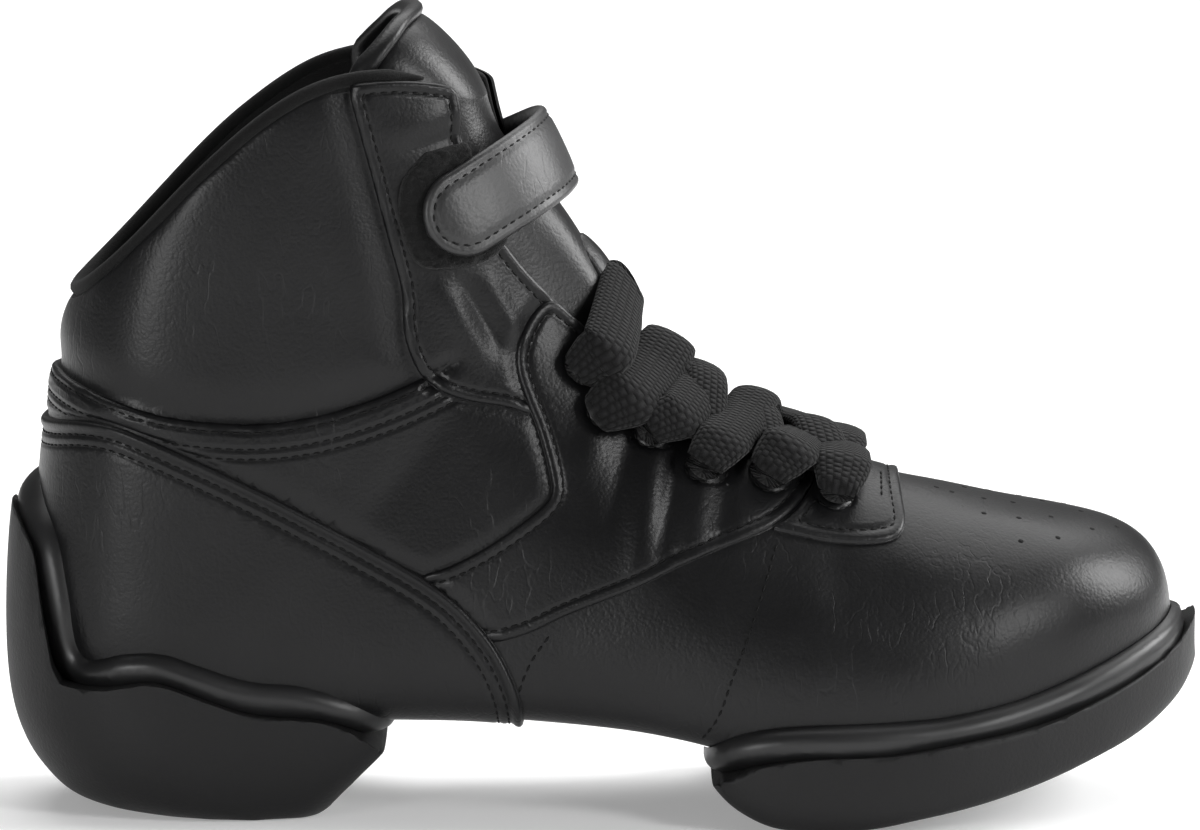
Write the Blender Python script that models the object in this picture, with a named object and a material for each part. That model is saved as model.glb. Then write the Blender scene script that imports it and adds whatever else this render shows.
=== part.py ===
"""High-top split-sole dance sneaker for the right foot, as separate maker's pieces.

+X points to the toe, +Y to the inner side of the foot and +Z up. The origin is the middle
of the flat tread under the heel. Stations run along the shoe from the back of the heel.
"""

import math
from collections import namedtuple

import bmesh
import bpy
from mathutils import Vector

MM = 0.001

# Driving sizes in millimetres
SHOE_LENGTH = 263.0  # back of the heel cup to the tip of the toe
BALL_WIDTH = 90.0  # upper across the ball of the foot
HEEL_HEIGHT = 21.0  # floor to the underside of the upper at the heel seat
BACK_RISE = 91.0  # heel seat to the collar at the back
INSTEP_HEIGHT = 112.0  # floor to the top of the lacing
SHAFT_RISE = 46.0  # top of the lacing to the front of the collar
TREAD_STATION = 47.0  # back of the heel cup to the middle of the heel tread

WALL = 2.4  # leather, foam and lining of the upper
COLLAR_PAD = 4.6  # extra foam in the collar
OVERLAY = 1.2  # leather of the counter, eyestay and ankle panels
CLEARANCE = 0.3  # air between pieces that lie on each other
SOLE_MARGIN = 3.6  # the rim beads stand this far outside the upper
INSOLE_THICKNESS = 3.0
TONGUE_FOAM = 4.4
TONGUE_CROWN = 1.4  # the tongue swells this far out between the eyestays
TONGUE_SINK = 3.6  # and lies this far in under the strap
TONGUE_TUCK = 9.0  # the tongue goes this far in behind the throat's edges
THROAT_FADE = 20.0  # the collar's foam thins out over this width behind the throat

STRAP_WIDTH = 19.0
STRAP_THICKNESS = 2.4
PILE_THICKNESS = 1.2
LACE_WIDTH = 9.0
LACE_THICKNESS = 4.2
LACE_SAG = 1.2  # the lacing's middle lies this much closer to the foot than its ends
LACE_TUCK = 0.55
EYELET_OUTER = 2.9
EYELET_BORE = 1.7
EYELET_THICKNESS = 0.7
KEEPER_WIDTH = 13.0
KEEPER_HEIGHT = 5.0

COLLAR_HEIGHT = INSTEP_HEIGHT + SHAFT_RISE

Section = namedtuple(
    "Section",
    "bottom heel back top instep shaft half shift widest low crown bow pad gap_outer gap_inner",
)
# One row for each section of the last, from the toe over the foot and up to the collar.
# bottom and top are stations as shares of SHOE_LENGTH. The bottom point's height is heel
# times HEEL_HEIGHT plus back times BACK_RISE, and the top point's is instep times
# INSTEP_HEIGHT plus shaft times SHAFT_RISE. half and shift are shares of BALL_WIDTH, widest
# is a share of the section's own height, low and crown are how square it is below and
# above, bow is a share of SHAFT_RISE, pad of COLLAR_PAD, and the gaps, from the ridge
# to each edge of the throat, are shares of BALL_WIDTH.
SECTIONS = [
    Section(0.9790, 1.90, 0.00, 0.979, 0.383, 0.00, 0.033, 0.088, 0.50, 2.2, 2.0, 0.00, 0.0, 0.00, 0.00),
    Section(0.9740, 1.62, 0.00, 0.975, 0.442, 0.00, 0.125, 0.087, 0.44, 2.6, 2.1, 0.00, 0.0, 0.00, 0.00),
    Section(0.9620, 1.45, 0.00, 0.962, 0.500, 0.00, 0.215, 0.084, 0.40, 3.4, 2.2, 0.00, 0.0, 0.00, 0.00),
    Section(0.9370, 1.33, 0.00, 0.939, 0.540, 0.00, 0.307, 0.078, 0.37, 4.2, 2.3, 0.00, 0.0, 0.00, 0.00),
    Section(0.8970, 1.19, 0.00, 0.903, 0.571, 0.00, 0.395, 0.058, 0.34, 4.8, 2.3, 0.00, 0.0, 0.00, 0.00),
    Section(0.8480, 1.00, 0.00, 0.859, 0.588, 0.00, 0.461, 0.038, 0.32, 5.0, 2.2, 0.00, 0.0, 0.00, 0.00),
    Section(0.7950, 0.79, 0.00, 0.814, 0.613, 0.00, 0.494, 0.017, 0.31, 5.0, 2.1, 0.00, 0.0, 0.00, 0.00),
    Section(0.7410, 0.62, 0.00, 0.770, 0.640, 0.00, 0.505, 0.000, 0.30, 5.0, 2.0, 0.00, 0.0, 0.00, 0.00),
    Section(0.6910, 0.55, 0.00, 0.727, 0.664, 0.00, 0.494, -0.018, 0.29, 5.0, 1.9, 0.00, 0.0, 0.00, 0.00),
    Section(0.6390, 0.59, 0.00, 0.684, 0.702, 0.00, 0.466, -0.036, 0.28, 4.8, 1.9, 0.00, 0.0, 0.08, 0.08),
    Section(0.5780, 0.79, 0.00, 0.637, 0.741, 0.00, 0.428, -0.049, 0.27, 4.4, 1.9, 0.00, 0.0, 0.10, 0.10),
    Section(0.5130, 0.90, 0.00, 0.589, 0.790, 0.00, 0.389, -0.056, 0.26, 4.0, 1.9, 0.00, 0.0, 0.12, 0.12),
    Section(0.4490, 0.95, 0.00, 0.549, 0.856, 0.00, 0.361, -0.051, 0.25, 3.8, 1.9, 0.00, 0.0, 0.13, 0.13),
    Section(0.3840, 1.00, 0.00, 0.524, 0.925, 0.00, 0.350, -0.038, 0.24, 3.8, 2.0, 0.00, 0.0, 0.15, 0.15),
    Section(0.3190, 1.00, 0.00, 0.507, 1.000, 0.00, 0.348, -0.022, 0.24, 4.0, 2.1, 0.00, 0.0, 0.18, 0.18),
    Section(0.2550, 0.98, 0.00, 0.492, 1.000, 0.17, 0.350, -0.011, 0.24, 4.2, 2.3, 0.00, 0.0, 0.23, 0.22),
    Section(0.1900, 0.95, 0.00, 0.476, 1.000, 0.33, 0.354, 0.000, 0.24, 4.2, 2.5, 0.00, 0.1, 0.27, 0.23),
    Section(0.1290, 0.95, 0.00, 0.460, 1.000, 0.47, 0.358, 0.000, 0.26, 3.8, 2.8, 0.00, 0.3, 0.30, 0.22),
    Section(0.0780, 1.02, 0.00, 0.447, 1.000, 0.60, 0.360, 0.000, 0.29, 3.2, 3.0, 0.02, 0.5, 0.31, 0.21),
    Section(0.0440, 1.26, 0.00, 0.438, 1.000, 0.70, 0.360, 0.000, 0.33, 2.7, 3.1, 0.05, 0.7, 0.32, 0.20),
    Section(0.0290, 1.00, 0.165, 0.4310, 1.000, 0.78, 0.359, 0.000, 0.36, 2.4, 3.2, 0.10, 0.9, 0.31, 0.19),
    Section(0.0250, 1.00, 0.319, 0.4265, 1.000, 0.84, 0.358, 0.000, 0.38, 2.3, 3.2, 0.16, 1.0, 0.30, 0.18),
    Section(0.0265, 1.00, 0.484, 0.4235, 1.000, 0.89, 0.357, 0.000, 0.40, 2.2, 3.2, 0.22, 1.0, 0.30, 0.18),
    Section(0.0310, 1.00, 0.648, 0.4215, 1.000, 0.93, 0.357, 0.000, 0.42, 2.2, 3.2, 0.28, 1.0, 0.29, 0.18),
    Section(0.0365, 1.00, 0.802, 0.4200, 1.000, 0.96, 0.356, 0.000, 0.43, 2.2, 3.2, 0.34, 1.0, 0.29, 0.18),
    Section(0.0410, 1.00, 0.912, 0.4190, 1.000, 0.98, 0.352, 0.000, 0.44, 2.2, 3.2, 0.39, 0.7, 0.29, 0.18),
    Section(0.0525, 1.00, 1.005, 0.4183, 1.000, 1.00, 0.342, 0.000, 0.45, 2.2, 3.2, 0.43, 0.3, 0.30, 0.19),
    Section(0.0700, 1.00, 1.130, 0.4000, 1.000, 1.22, 0.330, 0.000, 0.45, 2.2, 2.8, 0.40, 0.3, 0.32, 0.22),
    Section(0.0950, 1.00, 1.260, 0.3600, 1.000, 1.44, 0.320, 0.000, 0.45, 2.2, 2.4, 0.36, 0.3, 0.32, 0.24),
]
COLLAR_ROW = 26
TONGUE_ROW = 28
THROAT_ROW = 8
KEEPER_ROWS = (14.5, 16.2)
TONGUE_DROOP = 0.09
ARCH_ROWS = (10.0, 14.5)  # the leather goes on under the foot between these rows
FLOOR_ROWS = (3.0, 18.0)  # the upper is open underneath between these, but for the arch
LOW_ANGLES = (-90.0, -62.0, -42.0, -22.0, 0.0)
CROWN_STEPS = 6
RIDGE_STEPS = 90
BOW_SKEW = 1.5
BOW_FULLNESS = 0.9

# Side-view outlines: stations as shares of SHOE_LENGTH, heights as shares of COLLAR_HEIGHT
HEEL_RIM_TOP = [
    (0.024, 0.480), (0.038, 0.430), (0.053, 0.386), (0.062, 0.310), (0.072, 0.230), (0.106, 0.238),
    (0.137, 0.239), (0.167, 0.223), (0.209, 0.201), (0.251, 0.195), (0.289, 0.175), (0.331, 0.139),
]
HEEL_RIM_BOTTOM = [
    (0.008, 0.427), (0.028, 0.375), (0.033, 0.321), (0.041, 0.244), (0.052, 0.195), (0.091, 0.192),
    (0.120, 0.201), (0.143, 0.196), (0.198, 0.161), (0.232, 0.152), (0.266, 0.148), (0.293, 0.132),
    (0.317, 0.103),
]
HEEL_FRONT = [(0.333, 0.100), (0.323, 0.088), (0.308, 0.066), (0.293, 0.045), (0.279, 0.020), (0.270, 0.0)]
FOREFOOT_RIM_TOP = [
    (0.578, 0.095), (0.608, 0.131), (0.654, 0.149), (0.741, 0.156), (0.787, 0.161), (0.848, 0.179),
    (0.905, 0.210), (0.951, 0.242), (0.977, 0.266), (0.992, 0.288),
]
FOREFOOT_RIM_BOTTOM = [
    (0.585, 0.060), (0.624, 0.096), (0.681, 0.112), (0.741, 0.115), (0.802, 0.130), (0.863, 0.146),
    (0.905, 0.168), (0.951, 0.198), (0.985, 0.232), (1.000, 0.262),
]
COUNTER_TOP = [
    (0.026, 0.537), (0.065, 0.554), (0.098, 0.552), (0.132, 0.532), (0.176, 0.500), (0.222, 0.463),
    (0.266, 0.425), (0.311, 0.384), (0.356, 0.342), (0.386, 0.304), (0.411, 0.256), (0.427, 0.207),
    (0.435, 0.161), (0.437, 0.090),
]
EYESTAY_BACK = [
    (0.351, 0.348), (0.375, 0.361), (0.405, 0.387), (0.435, 0.420), (0.454, 0.446), (0.459, 0.465),
    (0.456, 0.497), (0.447, 0.546), (0.438, 0.584), (0.430, 0.625), (0.430, 0.658), (0.439, 0.694),
    (0.453, 0.717), (0.466, 0.712), (0.482, 0.689),
]
EYESTAY_FRONT = [
    (0.413, 0.256), (0.441, 0.270), (0.469, 0.293), (0.498, 0.313), (0.530, 0.335), (0.578, 0.373),
    (0.639, 0.411), (0.665, 0.401), (0.694, 0.392), (0.724, 0.389), (0.745, 0.395), (0.752, 0.413),
    (0.750, 0.443), (0.746, 0.490),
]
ANKLE_PANEL = [
    (0.294, 1.006), (0.310, 0.906), (0.324, 0.815), (0.335, 0.744), (0.338, 0.677), (0.350, 0.626),
    (0.365, 0.603), (0.390, 0.587), (0.420, 0.577), (0.438, 0.568),
]
PILE_OUTLINE = [
    (0.354, 0.930), (0.335, 0.893), (0.332, 0.847), (0.337, 0.811), (0.347, 0.777), (0.365, 0.769),
    (0.393, 0.773), (0.414, 0.790), (0.430, 0.840), (0.424, 0.905), (0.395, 0.940),
]
STRAP_END = (0.390, 0.851)  # middle of the strap's round end
STRAP_SEWN = (0.325, 0.780)  # middle of its sewn end on the inner side
STRAP_FRONT = (0.535, 0.985)  # beyond the ridge of the tongue

# The lace holes: a row of the section table, and the distance from the ridge as a share of
# BALL_WIDTH, the same on both sides.
Eyelet = namedtuple("Eyelet", "row distance")
EYELETS = [
    Eyelet(8.7, 0.24),
    Eyelet(9.8, 0.23),
    Eyelet(10.8, 0.26),
    Eyelet(11.8, 0.23),
    Eyelet(12.9, 0.28),
    Eyelet(13.9, 0.26),
]

# The heel unit in plan at some heights: the height as a share of HEEL_HEIGHT, the back and
# the front as shares of SHOE_LENGTH, and the half width as a share of BALL_WIDTH.
HeelLevel = namedtuple("HeelLevel", "height back front half")
HEEL_LEVELS = [
    HeelLevel(0.000, 0.100, 0.266, 0.330),
    HeelLevel(0.050, 0.074, 0.272, 0.350),
    HeelLevel(0.150, 0.050, 0.280, 0.370),
    HeelLevel(0.360, 0.034, 0.295, 0.390),
    HeelLevel(0.570, 0.021, 0.312, 0.400),
    HeelLevel(0.790, 0.013, 0.328, 0.407),
    HeelLevel(1.000, 0.007, 0.340, 0.410),
    HeelLevel(1.430, 0.001, 0.345, 0.411),
    HeelLevel(2.150, 0.000, 0.345, 0.410),
    HeelLevel(2.860, 0.003, 0.345, 0.405),
    HeelLevel(3.340, 0.008, 0.345, 0.398),
]
# The forefoot unit: stations as shares of SHOE_LENGTH, the tread's height as a share of
# HEEL_HEIGHT, and how far it goes to the outer and the inner side, as shares of BALL_WIDTH.
SoleStation = namedtuple("SoleStation", "station tread outer inner")
FOREFOOT_STATIONS = [
    SoleStation(0.577, 0.78, 0.480, 0.385),
    SoleStation(0.590, 0.50, 0.508, 0.420),
    SoleStation(0.606, 0.26, 0.525, 0.448),
    SoleStation(0.630, 0.09, 0.540, 0.475),
    SoleStation(0.655, 0.00, 0.550, 0.500),
    SoleStation(0.715, 0.00, 0.556, 0.535),
    SoleStation(0.753, 0.10, 0.553, 0.552),
    SoleStation(0.795, 0.20, 0.535, 0.558),
    SoleStation(0.837, 0.33, 0.492, 0.552),
    SoleStation(0.878, 0.48, 0.425, 0.532),
    SoleStation(0.920, 0.67, 0.330, 0.490),
    SoleStation(0.950, 0.82, 0.240, 0.430),
    SoleStation(0.975, 1.02, 0.140, 0.350),
    SoleStation(0.991, 1.20, 0.045, 0.265),
    SoleStation(1.000, 1.42, -0.045, 0.165),
]
# The tread's rounded edge: how far in and how far up, in millimetres
TREAD_EDGE = [(5.0, 0.0), (2.2, 1.0), (0.7, 3.4), (0.0, 8.0)]

BLACK_LEATHER = (0.022, 0.022, 0.024)
BLACK_FABRIC = (0.010, 0.010, 0.011)
BLACK_RUBBER = (0.018, 0.018, 0.019)
BLACK_RIM = (0.026, 0.026, 0.027)
DARK_METAL = (0.060, 0.060, 0.062)


def catmull(values, position):
    """A smooth value between the entries of a list, at a fractional position."""
    last = len(values) - 1
    position = min(max(position, 0.0), float(last))
    i = min(int(position), last - 1)
    t = position - i
    a, b, c, d = (values[min(max(k, 0), last)] for k in (i - 1, i, i + 1, i + 2))
    square = 2 * a - 5 * b + 4 * c - d
    cube = 3 * b - a - 3 * c + d
    return 0.5 * (2 * b + (c - a) * t + square * t * t + cube * t**3)


def between(table, position):
    """The row of a table at a fractional position."""
    return type(table[0])(*(catmull(column, position) for column in zip(*table)))


def smooth_line(points, steps=2):
    """A smooth line through a few points."""
    columns = list(zip(*points))
    count = (len(points) - 1) * steps
    return [tuple(catmull(column, k / steps) for column in columns) for k in range(count + 1)]


def side_line(shares, steps=2):
    """A smooth side-view line from shares of SHOE_LENGTH and COLLAR_HEIGHT."""
    return [(s * SHOE_LENGTH, z * COLLAR_HEIGHT) for s, z in smooth_line(shares, steps)]


def place(station, y, z):
    """Shoe measures in millimetres to the object's frame in metres."""
    return Vector(((station - TREAD_STATION) * MM, y * MM, z * MM))


def section_point(s, angle, side):
    """A point of one section. Angle -90 is the sole's middle, 0 the widest and 90 the ridge."""
    foot = (s.bottom * SHOE_LENGTH, s.heel * HEEL_HEIGHT + s.back * BACK_RISE)
    head = (s.top * SHOE_LENGTH, s.instep * INSTEP_HEIGHT + s.shaft * SHAFT_RISE)
    run, rise = head[0] - foot[0], head[1] - foot[1]
    height = math.hypot(run, rise)
    wide = s.widest * height
    power = 2.0 / (s.low if angle < 0 else s.crown)
    across = max(0.0, math.cos(math.radians(angle))) ** power
    along = abs(math.sin(math.radians(angle))) ** power
    h = wide * (1 - along) if angle < 0 else wide + (height - wide) * along
    u = min(max(h / height, 0.0), 1.0)
    lift = s.bow * SHAFT_RISE * math.sin(math.pi * u**BOW_SKEW) ** BOW_FULLNESS
    return Vector((
        foot[0] + run * u - rise / height * lift,
        (s.shift + side * s.half * across) * BALL_WIDTH,
        foot[1] + rise * u + run / height * lift,
    ))


def ridge_walk(s, side):
    """(distance from the ridge, angle) pairs down one side of a section."""
    walk = [(0.0, 90.0)]
    before = section_point(s, 90, side)
    for k in range(1, RIDGE_STEPS + 1):
        angle = 90.0 - 90.0 * k / RIDGE_STEPS
        here = section_point(s, angle, side)
        walk.append((walk[-1][0] + (here - before).length, angle))
        before = here
    return walk


def angle_at(walk, distance):
    """The angle at a distance from the ridge."""
    for (d0, a0), (d1, a1) in zip(walk, walk[1:]):
        if d1 >= distance:
            return a0 + (a1 - a0) * (distance - d0) / max(d1 - d0, 1e-9)
    return walk[-1][1]


def distance_at(walk, angle):
    """The distance from the ridge at an angle."""
    for (d0, a0), (d1, a1) in zip(walk, walk[1:]):
        if a1 <= angle:
            return d0 + (d1 - d0) * (a0 - angle) / max(a0 - a1, 1e-9)
    return walk[-1][0]


def throat_gap(s, side):
    """Distance from the ridge to the throat's edge on one side."""
    return max(s.gap_outer if side < 0 else s.gap_inner, 0.0) * BALL_WIDTH


def wall_depth(s, side, distance):
    """Thickness of the upper's wall at a distance from the ridge."""
    t = min(max((distance - throat_gap(s, side)) / THROAT_FADE, 0.0), 1.0)
    return WALL + COLLAR_PAD * max(s.pad, 0.0) * t * t * (3 - 2 * t)


def ring(row, throat):
    """(point, wall) pairs round a section: outer side of the ridge, under the foot, inner side."""
    s = between(SECTIONS, row)
    halves = []
    for side in (-1, 1):
        walk = ridge_walk(s, side)
        gap = throat_gap(s, side) if throat and row > THROAT_ROW else 0.0
        end = angle_at(walk, gap)
        angles = list(LOW_ANGLES) + [end * k / CROWN_STEPS for k in range(1, CROWN_STEPS + 1)]
        halves.append([
            (section_point(s, a, side), wall_depth(s, side, distance_at(walk, a))) for a in angles
        ])
    outer, inner = halves
    return outer[:0:-1] + inner


class Sheet:
    """A sheet of quads over points, with an outward normal at each point."""

    def __init__(self, points, faces, walls=None):
        self.points, self.faces, self.walls = points, faces, walls
        bm = bmesh.new()
        vertices = [bm.verts.new(p) for p in points]
        for face in faces:
            bm.faces.new([vertices[i] for i in face])
        bm.normal_update()
        self.normals = [v.normal.copy() for v in vertices]
        bm.free()

    def offset(self, distance):
        """The points moved out by one distance, or by a list of them."""
        several = distance if isinstance(distance, list) else [distance] * len(self.points)
        return [p + n * d for p, n, d in zip(self.points, self.normals, several)]


def grid_sheet(rings, skip=lambda j, i: False, cap_first=False, cap_last=False, walls=None):
    """A sheet through rings of points, merged where a ring's two ends meet."""
    count = len(rings[0])
    points, depths, index = [], [], {}
    for j, loop in enumerate(rings):
        for i, p in enumerate(loop):
            closed = i == count - 1 and (p - loop[0]).length < 1e-3
            index[j, i] = index[j, 0] if closed else len(points)
            if not closed:
                points.append(p)
                depths.append(walls[j][i] if walls else 0.0)
    faces = []
    for j in range(len(rings) - 1):
        for i in range(count - 1):
            if not skip(j, i):
                a, b = index[j, i], index[j + 1, i]
                c, d = index[j + 1, i + 1], index[j, i + 1]
                faces += [f for f in ([a, b, c], [a, c, d]) if len(set(f)) == 3]
    for wanted, j in ((cap_first, 0), (cap_last, len(rings) - 1)):
        if wanted:
            loop = list(dict.fromkeys(index[j, i] for i in range(count)))
            faces.append(loop[::-1] if j else loop)
    return Sheet(points, faces, depths)


def make_object(name, points, faces, colour=None, roughness=0.5):
    """An object from points in shoe measures, with its own material unless it is a helper."""
    mesh = bpy.data.meshes.new(name)
    mesh.from_pydata([place(*p) for p in points], [], faces)
    bm = bmesh.new()
    bm.from_mesh(mesh)
    bmesh.ops.delete(bm, geom=[v for v in bm.verts if not v.link_faces], context="VERTS")
    bmesh.ops.triangulate(bm, faces=[f for f in bm.faces if len(f.verts) > 4])
    bm.to_mesh(mesh)
    bm.free()
    obj = bpy.data.objects.new(name, mesh)
    bpy.context.scene.collection.objects.link(obj)
    if colour is None:
        obj.hide_render = True
        obj.display_type = "WIRE"
    else:
        finish(obj, colour, roughness)
    return obj


def finish(obj, colour, roughness):
    """A plain surface of one colour."""
    material = bpy.data.materials.new(obj.name)
    material.use_nodes = True
    shader = material.node_tree.nodes["Principled BSDF"]
    shader.inputs["Base Color"].default_value = (*colour, 1)
    shader.inputs["Roughness"].default_value = roughness
    shader.inputs["Metallic"].default_value = 0.0
    obj.data.materials.append(material)


def walled(name, sheet, outside, inside, colour=None, roughness=0.5):
    """A closed wall between two copies of a sheet, joined along the sheet's free edges."""
    count = len(sheet.points)
    faces = [list(f) for f in sheet.faces] + [[i + count for i in reversed(f)] for f in sheet.faces]
    free = {}
    for face in sheet.faces:
        for a, b in zip(face, face[1:] + face[:1]):
            if (b, a) in free:
                del free[b, a]
            else:
                free[a, b] = True
    faces += [[b, a, a + count, b + count] for a, b in free]
    return make_object(name, list(outside) + list(inside), faces, colour, roughness)


def combine(obj, other, operation):
    """A Boolean with a helper object."""
    cut = obj.modifiers.new(operation.lower(), "BOOLEAN")
    cut.operation = operation
    cut.object = other
    cut.solver = "EXACT"
    return obj


def side_prism(name, outline, near=-90.0, far=90.0):
    """A helper solid: a side-view outline, in stations and heights, carried across the shoe."""
    area = sum(a[0] * b[1] - b[0] * a[1] for a, b in zip(outline, outline[1:] + outline[:1]))
    outline = outline if area > 0 else outline[::-1]
    count = len(outline)
    points = [Vector((s, near, z)) for s, z in outline] + [Vector((s, far, z)) for s, z in outline]
    order = list(range(count))
    faces = [order, [i + count for i in reversed(order)]]
    faces += [[b, a, a + count, b + count] for a, b in zip(order, order[1:] + order[:1])]
    return make_object(name, points, faces)


def rows_between(first, last, count):
    """Evenly spaced fractional rows."""
    return [first + (last - first) * k / count for k in range(count + 1)]


FOOT_ROWS = rows_between(0, THROAT_ROW, 9) + rows_between(THROAT_ROW, COLLAR_ROW, 17)[1:]


def open_floor(rows):
    """Tells which cells are left out where a sole unit closes the upper from below."""
    middle = len(LOW_ANGLES) - 2 + CROWN_STEPS

    def skip(j, i):
        row = (rows[j] + rows[j + 1]) / 2
        open_row = FLOOR_ROWS[0] < row < FLOOR_ROWS[1] and not ARCH_ROWS[0] < row < ARCH_ROWS[1]
        return i in (middle, middle + 1) and open_row

    return skip


def upper_sheet(floor_open=False, throat=True, cap_last=False):
    """The upper's outer surface, with the wall's thickness at each point."""
    rings = [ring(row, throat) for row in FOOT_ROWS]
    skip = open_floor(FOOT_ROWS) if floor_open else lambda j, i: False
    points = [[p for p, _ in loop] for loop in rings]
    walls = [[w for _, w in loop] for loop in rings]
    return grid_sheet(points, skip, cap_first=True, cap_last=cap_last, walls=walls)


def add_upper(sheet):
    """The hollow upper: vamp, quarters, padded collar and the leather under the arch."""
    inside = sheet.offset([-w for w in sheet.walls])
    return walled("upper", sheet, sheet.points, inside, BLACK_LEATHER, 0.42)


def add_overlay(name, sheet, depth, thickness, prism, colour=BLACK_LEATHER, roughness=0.4):
    """A piece that lies on the upper, at a depth above it, cut to a side-view outline."""
    outside, inside = sheet.offset(depth + thickness), sheet.offset(depth)
    obj = walled(name, sheet, outside, inside, colour, roughness)
    return combine(obj, prism, "INTERSECT")


def shifted(line, ds, dz):
    """A side-view line moved over."""
    return [(s + ds, z + dz) for s, z in line]


def add_heel_unit(last_hull, shell_sheet):
    """The heel's ground cup and the rim bead that climbs its back."""
    top, bottom = side_line(HEEL_RIM_TOP), side_line(HEEL_RIM_BOTTOM)
    back = -SOLE_MARGIN * 3
    rim = [(back, top[0][1] + 1.0)] + top + bottom[::-1] + [(back, bottom[0][1] + 1.0)]
    add_overlay(
        "heel_rim", shell_sheet, CLEARANCE, SOLE_MARGIN - CLEARANCE, side_prism("rim_cut", rim),
        BLACK_RIM, 0.35,
    )
    lower = shifted(bottom, 0.0, -CLEARANCE * 1.5)
    front = [(s * SHOE_LENGTH, z * COLLAR_HEIGHT) for s, z in HEEL_FRONT]
    cup = [(back, lower[0][1] + 1.0)] + lower + front[1:-1]
    cup += [(front[-1][0], -1.0), (back, -1.0)]
    sheet = grid_sheet([heel_ring(level) for level in HEEL_LEVELS], cap_first=True, cap_last=True)
    obj = make_object("heel_outsole", sheet.points, sheet.faces, BLACK_RUBBER, 0.7)
    combine(obj, side_prism("heel_cut", cup), "INTERSECT")
    combine(obj, last_hull, "DIFFERENCE")
    return rim, cup


def heel_ring(level):
    """The heel unit in plan: round at the back, straight sides and small corners in front."""
    back, front = level.back * SHOE_LENGTH, level.front * SHOE_LENGTH
    half = level.half * BALL_WIDTH
    z = level.height * HEEL_HEIGHT
    corner = 9.0
    middle = back + half * 0.98
    outline = [
        (middle - (middle - back) * math.cos(a) ** 0.92, half * math.sin(a) ** 0.92)
        for a in (math.pi / 2 * k / 8 for k in range(9))
    ]
    outline += [(middle + (front - corner - middle) * k / 2, half * (1 - 0.03 * k)) for k in (1, 2)]
    last = outline[-1][1]
    outline += [
        (front - corner + corner * math.sin(a), last - corner + corner * math.cos(a))
        for a in (math.pi / 2 * k / 3 for k in (1, 2, 3))
    ]
    ring_points = [Vector((s, -y, z)) for s, y in outline]
    ring_points += [Vector((s, y, z)) for s, y in outline[:0:-1]]
    return ring_points + ring_points[:1]


def add_forefoot_unit(last_hull, shell_sheet):
    """The forefoot's ground cup with its toe spring, and the rim bead round it."""
    top, bottom = side_line(FOREFOOT_RIM_TOP), side_line(FOREFOOT_RIM_BOTTOM)
    toe = SHOE_LENGTH + SOLE_MARGIN * 3
    rim = top + [(toe, top[-1][1]), (toe, bottom[-1][1])] + bottom[::-1]
    add_overlay(
        "forefoot_rim", shell_sheet, CLEARANCE, SOLE_MARGIN - CLEARANCE,
        side_prism("toe_rim_cut", rim), BLACK_RIM, 0.35,
    )
    lower = shifted(bottom, 0.0, -CLEARANCE * 1.5)
    cup = lower + [(toe, lower[-1][1]), (toe, -1.0), (lower[0][0] - 4.0, -1.0)]
    cup += [(lower[0][0] - 1.5, lower[0][1] - 2.0)]
    rings = []
    for k in range(22):
        sole = between(FOREFOOT_STATIONS, (len(FOREFOOT_STATIONS) - 1) * k / 21)
        s, low = sole.station * SHOE_LENGTH, max(sole.tread, 0.0) * HEEL_HEIGHT
        outer, inner = sole.outer * BALL_WIDTH, sole.inner * BALL_WIDTH
        share = min(1.0, (outer + inner) / 24.0)
        height = max(1.8 * HEEL_HEIGHT, low + TREAD_EDGE[-1][1] + 6.0)
        rise = [(e * share, low + up) for e, up in TREAD_EDGE] + [(0.0, height)]
        loop = [Vector((s, -outer + e, z)) for e, z in rise[::-1]]
        loop += [Vector((s, (inner - outer) / 2, low))]
        loop += [Vector((s, inner - e, z)) for e, z in rise]
        rings.append(loop + loop[:1])
    sheet = grid_sheet(rings, cap_first=True, cap_last=True)
    obj = make_object("forefoot_outsole", sheet.points, sheet.faces, BLACK_RUBBER, 0.7)
    combine(obj, side_prism("toe_cut", cup), "INTERSECT")
    combine(obj, last_hull, "DIFFERENCE")


def ridge_frame(row, distance):
    """(point, outward normal, way to the toe) at a distance from the ridge, minus for outer."""
    def at(r, d):
        s = between(SECTIONS, r)
        side = -1 if d < 0 else 1
        return section_point(s, angle_at(ridge_walk(s, side), abs(d)), side)

    ahead = at(row - 0.2, distance) - at(row + 0.2, distance)
    across = at(row, distance + 1.0) - at(row, distance - 1.0)
    return at(row, distance), ahead.cross(across).normalized(), ahead.normalized()


def ridge_sheet(rows, fractions, reach, lift, droop=0.0):
    """A sheet over the ridge. reach gives its half widths and lift its height over the upper."""
    points, lifts = [], []
    for row in rows:
        line = []
        for f in fractions:
            here = rows[0] + (row - rows[0]) * (1 - droop * f * f)
            s = between(SECTIONS, here)
            side = -1 if f < 0 else 1
            distance = abs(f) * reach(here, s, side)
            line.append(section_point(s, angle_at(ridge_walk(s, side), distance), side))
            lifts.append(lift(here, s, side, distance))
        points.append(line)
    return grid_sheet(points), lifts


def ramp(value, low, high):
    """0 up to low, 1 from high on, and smooth between them."""
    t = min(max((value - low) / (high - low), 0.0), 1.0)
    return t * t * (3 - 2 * t)


def tongue_reach(row, s, side):
    """Half width of the tongue: behind the throat's edge, and wide at the collar."""
    wide = 0.50 * BALL_WIDTH * ramp(row, 18.0, 24.0)
    return max(throat_gap(s, side) + TONGUE_TUCK, wide) * (1 - 0.15 * ramp(row, 26.5, 28.0))


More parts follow.
